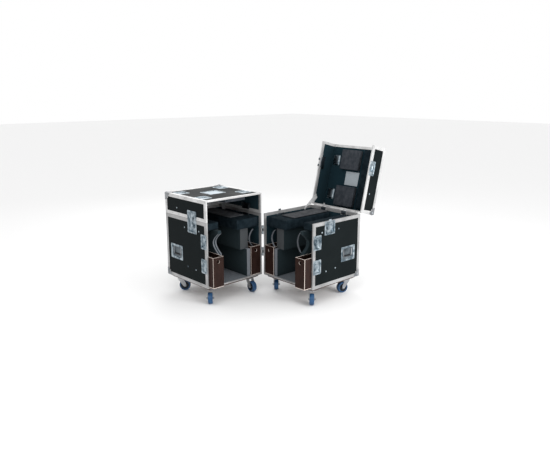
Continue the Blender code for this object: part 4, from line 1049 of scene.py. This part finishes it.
def foam_block(half, name, low, high, material, replaces=(), rounding=0.006):
    """A cut foam bar: rounded edges and faces that crown very slightly."""
    bm = bmesh.new()
    solid_box(bm, low, high)
    bmesh.ops.subdivide_edges(bm, edges=bm.edges, cuts=7, use_grid_fill=True)
    middle = [(p + q) / 2 for p, q in zip(low, high)]
    reach = [(q - p) / 2 for p, q in zip(low, high)]
    for vert in bm.verts:
        share = [(vert.co[k] - middle[k]) / reach[k] for k in range(3)]
        for k in range(3):
            others = [share[j] for j in range(3) if j != k]
            sag = 0.0035 * max(others[0] ** 2, others[1] ** 2)
            vert.co[k] -= share[k] * sag
    thing = on_body(half, name, bm, material, "dark_foam", replaces, 60)
    soft = thing.modifiers.new("soft_edges", "BEVEL")
    soft.width = rounding
    soft.segments = 3
    soft.limit_method = "ANGLE"
    soft.angle_limit = radians(50)


def foams(half):
    foam_block(half, "spine_foam_block", (0.024, 0.020, 0.446), (0.267, 0.585, 0.537),
               DARK_FOAM, (f"{half.name}_spine_foam",))
    foam_block(half, "spine_foam_slab", (0.090, 0.130, 0.5368), (0.255, 0.578, 0.549),
               GREY_FOAM, rounding=0.003)
    foam_block(half, "outer_foam_block", (0.430, 0.060, 0.478), (0.570, 0.560, 0.545),
               DARK_FOAM, (f"{half.name}_outer_foam",))


# ---------------------------------------------------------------- bins
def bin_edges(half):
    """Pale board edges that show along the rims and corners of the bins."""
    width, length, height, wall = 0.108, 0.400, 0.262, 0.0058
    proud, wide, start = 0.00015, 0.0044, 0.0155
    for which, a0, out in (("spine", start, 0.0), ("outer", WIDTH - start - width, half.bin_out)):
        a1 = a0 + width
        b0 = 0.0035 - out
        b1 = b0 + length
        z0 = 0.0147
        z1 = z0 + height
        bm = bmesh.new()
        for (pa, pb), (qa, qb) in (((a0, b0), (a0 + wall, b1)), ((a1 - wall, b0), (a1, b1)),
                                   ((a0 + wall, b0), (a1 - wall, b0 + wall)),
                                   ((a0 + wall, b1 - wall), (a1 - wall, b1))):
            solid_box(bm, (pa, pb, z1 - 0.0002), (qa, qb, z1 + 0.0004))
        for side, at in ((-1, a0), (1, a1)):
            p, q = sorted((at + side * proud, at - side * 0.0004))
            solid_box(bm, (p, b0 + 0.0003, z0 + wide), (q, b0 + 0.0003 + wide, z1))
            solid_box(bm, (p, b0 + 0.0003, z0 + 0.0003), (q, b1 - 0.0003, z0 + wide))
        solid_box(bm, (a0 + 0.0004, b0 - proud, z0 + 0.0003),
                  (a1 - 0.0004, b0 + 0.0004, z0 + wide))
        centre = ((a0 + a1) / 2, b0, z1 - 0.038)
        turned(bm, centre, (0, 1, 0), [(0.01345, 0.0002), (0.01345, wall)], 24)
        finish_piece(f"{half.name}_{which}_bin_edges", bm, half.body, PALE,
                     f"{half.name}_{which}_tray")


# ---------------------------------------------------------------- lids
def lid_cups(half):
    """Stacking cups and the label tray on the lid's top."""
    point = on_face("top")
    for k, (a, b) in enumerate(CUPS):
        wide, long = CUP_SIZE
        pan = (a - wide / 2 + 0.003, a + wide / 2 - 0.003, b - long / 2 + 0.003,
               b + long / 2 - 0.003)
        level = -SKIN + 0.0012
        loops = [(grown(pan, 0.011), 0.016, level - 0.0009), (grown(pan, 0.0104), 0.0155, level),
                 (grown(pan, 0.0015), 0.013, level), (grown(pan, -0.0010), 0.012, level - 0.0020),
                 (grown(pan, -0.0032), 0.011, level - 0.0070),
                 (grown(pan, -0.0080), 0.010, level - 0.0076)]
        bm = bmesh.new()
        sunk_sheet(bm, point, loops)
        face_outward(bm, (0, 0, 1))
        cup = on_lid(half, f"stacking_cup_{k}", bm, ZINC, angle=PRESSED)
        thicken(cup, 0.0008)
    a, b = 0.300, 0.308
    rect = (a - 0.078, a + 0.078, b - 0.071, b + 0.071)
    bm = bmesh.new()
    level = -SKIN + 0.0010
    sunk_sheet(bm, point, [(grown(rect, 0.009), 0.008, level - 0.0008),
                           (grown(rect, 0.0085), 0.0075, level), (rect, 0.005, level),
                           (grown(rect, -0.0012), 0.004, level - 0.0030),
                           (grown(rect, -0.0020), 0.004, level - 0.0033)])
    face_outward(bm, (0, 0, 1))
    plate = on_lid(half, "label_tray", bm, ZINC, angle=PRESSED)
    thicken(plate, 0.0006)
    bm = bmesh.new()
    solid_box(bm, (rect[0] + 0.012, rect[2] + 0.012, LID_TOP - SKIN - 0.0022),
              (rect[1] - 0.012, rect[3] - 0.012, LID_TOP - SKIN - 0.0014), 0.0003)
    on_lid(half, "label_card", bm, CARD)


def lid_lining(half):
    """Dark lining, cup backs, foam pads and the light plate inside the lid."""
    ceiling = LID_TOP - INNER
    bm = bmesh.new()
    solid_box(bm, (CHANNEL, 0.0020, ceiling - 0.0016),
              (WIDTH - CHANNEL, BACK_WALL, ceiling - 0.0003))
    solid_box(bm, (CHANNEL, 0.5908, LID_LOW + 0.016), (WIDTH - CHANNEL, 0.5920, ceiling - 0.0018))
    near, far = LINING_FACES
    for a0, a1 in ((near, far), (WIDTH - far, WIDTH - near)):
        solid_box(bm, (a0, 0.0150, LID_LOW + 0.016), (a1, BACK_WALL, ceiling - 0.0018))
    on_lid(half, "lid_lining", bm, LINING, "grey_felt")

    def under(out, u, v):
        return (u, v, ceiling - 0.0016 - out)

    for k, (a, b) in enumerate(CUPS[:2]):
        rect = (a - 0.052, a + 0.030, b - 0.050, b + 0.050)
        bm = bmesh.new()
        sunk_sheet(bm, under, [(rect, 0.010, 0.0), (grown(rect, -0.0012), 0.0095, 0.0040),
                               (grown(rect, -0.0080), 0.008, 0.0046),
                               (grown(rect, -0.0120), 0.008, 0.0085),
                               (grown(rect, -0.0160), 0.007, 0.0092)])
        face_outward(bm, (0, 0, -1))
        on_lid(half, f"cup_back_{k}", bm, ZINC, angle=PRESSED)
        # A patch of darkened zinc on each cup back: painted shade
        core = bmesh.new()
        solid_box(core, (a - 0.034, b - 0.032, ceiling - 0.0112),
                  (a + 0.012, b + 0.032, ceiling - 0.0106), 0.0002)
        on_lid(half, f"cup_core_{k}", core, SHADE_PAINTED_ZINC)
    for k, (b0, b1, a0, a1) in enumerate(((0.045, 0.230, 0.153, 0.373),
                                          (0.387, 0.575, 0.153, 0.377))):
        bm = bmesh.new()
        solid_box(bm, (a0, b0, ceiling - 0.0400), (a1, b1, ceiling - 0.0018), 0.005, 3)
        pad = on_lid(half, f"lid_pad_{k}", bm, PAD_FOAM, "dark_foam")
    bm = bmesh.new()
    solid_box(bm, (0.217, 0.246, ceiling - 0.0042), (0.373, 0.374, ceiling - 0.0018), 0.0010)
    on_lid(half, "lid_plate", bm, PLATE, "grey_felt")
    bm = bmesh.new()
    solid_box(bm, (0.400, 0.030, ceiling - 0.0180), (0.575, 0.575, ceiling - 0.0018), 0.005, 3)
    pad = on_lid(half, "lid_strip", bm, DARK_FOAM, "dark_foam")


# ---------------------------------------------------------------- camera and light
def camera():
    book = Vector(JOINTS["book_hinge"]["pos_m"])
    eye = bpy.data.objects.new("camera", bpy.data.cameras.new("camera"))
    bpy.context.scene.collection.objects.link(eye)
    back_x, back_y, height = 3.359, 3.761, 1.775
    eye.location = (book.x + CLOSED_GAP / 2 - back_x, book.y + CLOSED_GAP / 2 - back_y, height)
    down = radians(13.0)
    ahead = Vector((0.682, 0.731, 0)).normalized() * cos(down) + Vector((0, 0, -sin(down)))
    eye.rotation_euler = ahead.to_track_quat("-Z", "Y").to_euler()
    eye.data.lens = 38.0
    eye.data.sensor_width = 36.0
    bpy.context.scene.camera = eye


def area_light(name, place, target, size, power, colour=(1, 1, 1)):
    lamp = bpy.data.lights.new(name, "AREA")
    lamp.shape = "DISK"
    lamp.size = size
    lamp.energy = power
    lamp.color = colour
    thing = bpy.data.objects.new(name, lamp)
    bpy.context.scene.collection.objects.link(thing)
    thing.location = place
    aim = Vector(target) - Vector(place)
    thing.rotation_euler = aim.to_track_quat("-Z", "Y").to_euler()


def studio():
    bpy.context.scene.view_settings.view_transform = "Standard"
    bm = bmesh.new()
    bmesh.ops.create_grid(bm, x_segments=1, y_segments=1, size=30.0)
    mesh = bpy.data.meshes.new("floor")
    bm.to_mesh(mesh)
    bm.free()
    floor = bpy.data.objects.new("floor", mesh)
    bpy.context.scene.collection.objects.link(floor)
    mesh.materials.append(new_material("pale_floor", (0.90, 0.90, 0.90), 0.9))
    world = bpy.data.worlds.new("studio")
    world.use_nodes = True
    set_inputs(world.node_tree.nodes["Background"],
               {"Color": (1.0, 1.0, 1.0, 1.0), "Strength": 1.0})
    bpy.context.scene.world = world
    area_light("key", (-2.6, -2.2, 3.6), (0, 0, 0.5), 2.4, 25.0)
    area_light("front_fill", (0.6, -4.0, 1.6), (0.1, 0, 0.6), 2.5, 95.0)
    area_light("back_rim", (1.5, 3.0, 3.0), (0, 0, 0.6), 2.0, 30.0)


# ---------------------------------------------------------------- CAD pieces that stay
def dress_frame():
    """Materials for the CAD nodes that stay in view."""
    finishes = {"carcass": LAMINATE, "lid_shell": LAMINATE, "lid_edge_frame": LIT_LID_ALUMINIUM,
                "edge_frame": ALUMINIUM, "castor_board": PLY, "bin": BROWN,
                "fork": CASTOR_STEEL, "lid_stay": ZINC}
    for node, thing in frame["nodes"].items():
        for ending, material in finishes.items():
            if node.endswith(ending):
                thing.data.materials.clear()
                thing.data.materials.append(material)
                break


def main():
    dress_frame()
    for half in (LEFT, RIGHT):
        recess_hardware(half)
        grip(half)
        extrusion_rivets(half)
        corner_balls(half)
        lid_stay(half)
        inner_legs(half)
        hinge_roll(half)
        book_knuckles(half)
        lid_hinge_blocks(half)
        dish_backs(half)
        spine_catch(half)
        arc_straps(half)
        panel_bolts(half)
        castor_plates(half)
        interior(half)
        foams(half)
        bin_edges(half)
        lid_cups(half)
        lid_lining(half)
        for place in WHEEL_PLACES:
            castor(f"{half.name}_{place}")
    camera()
    studio()


main()
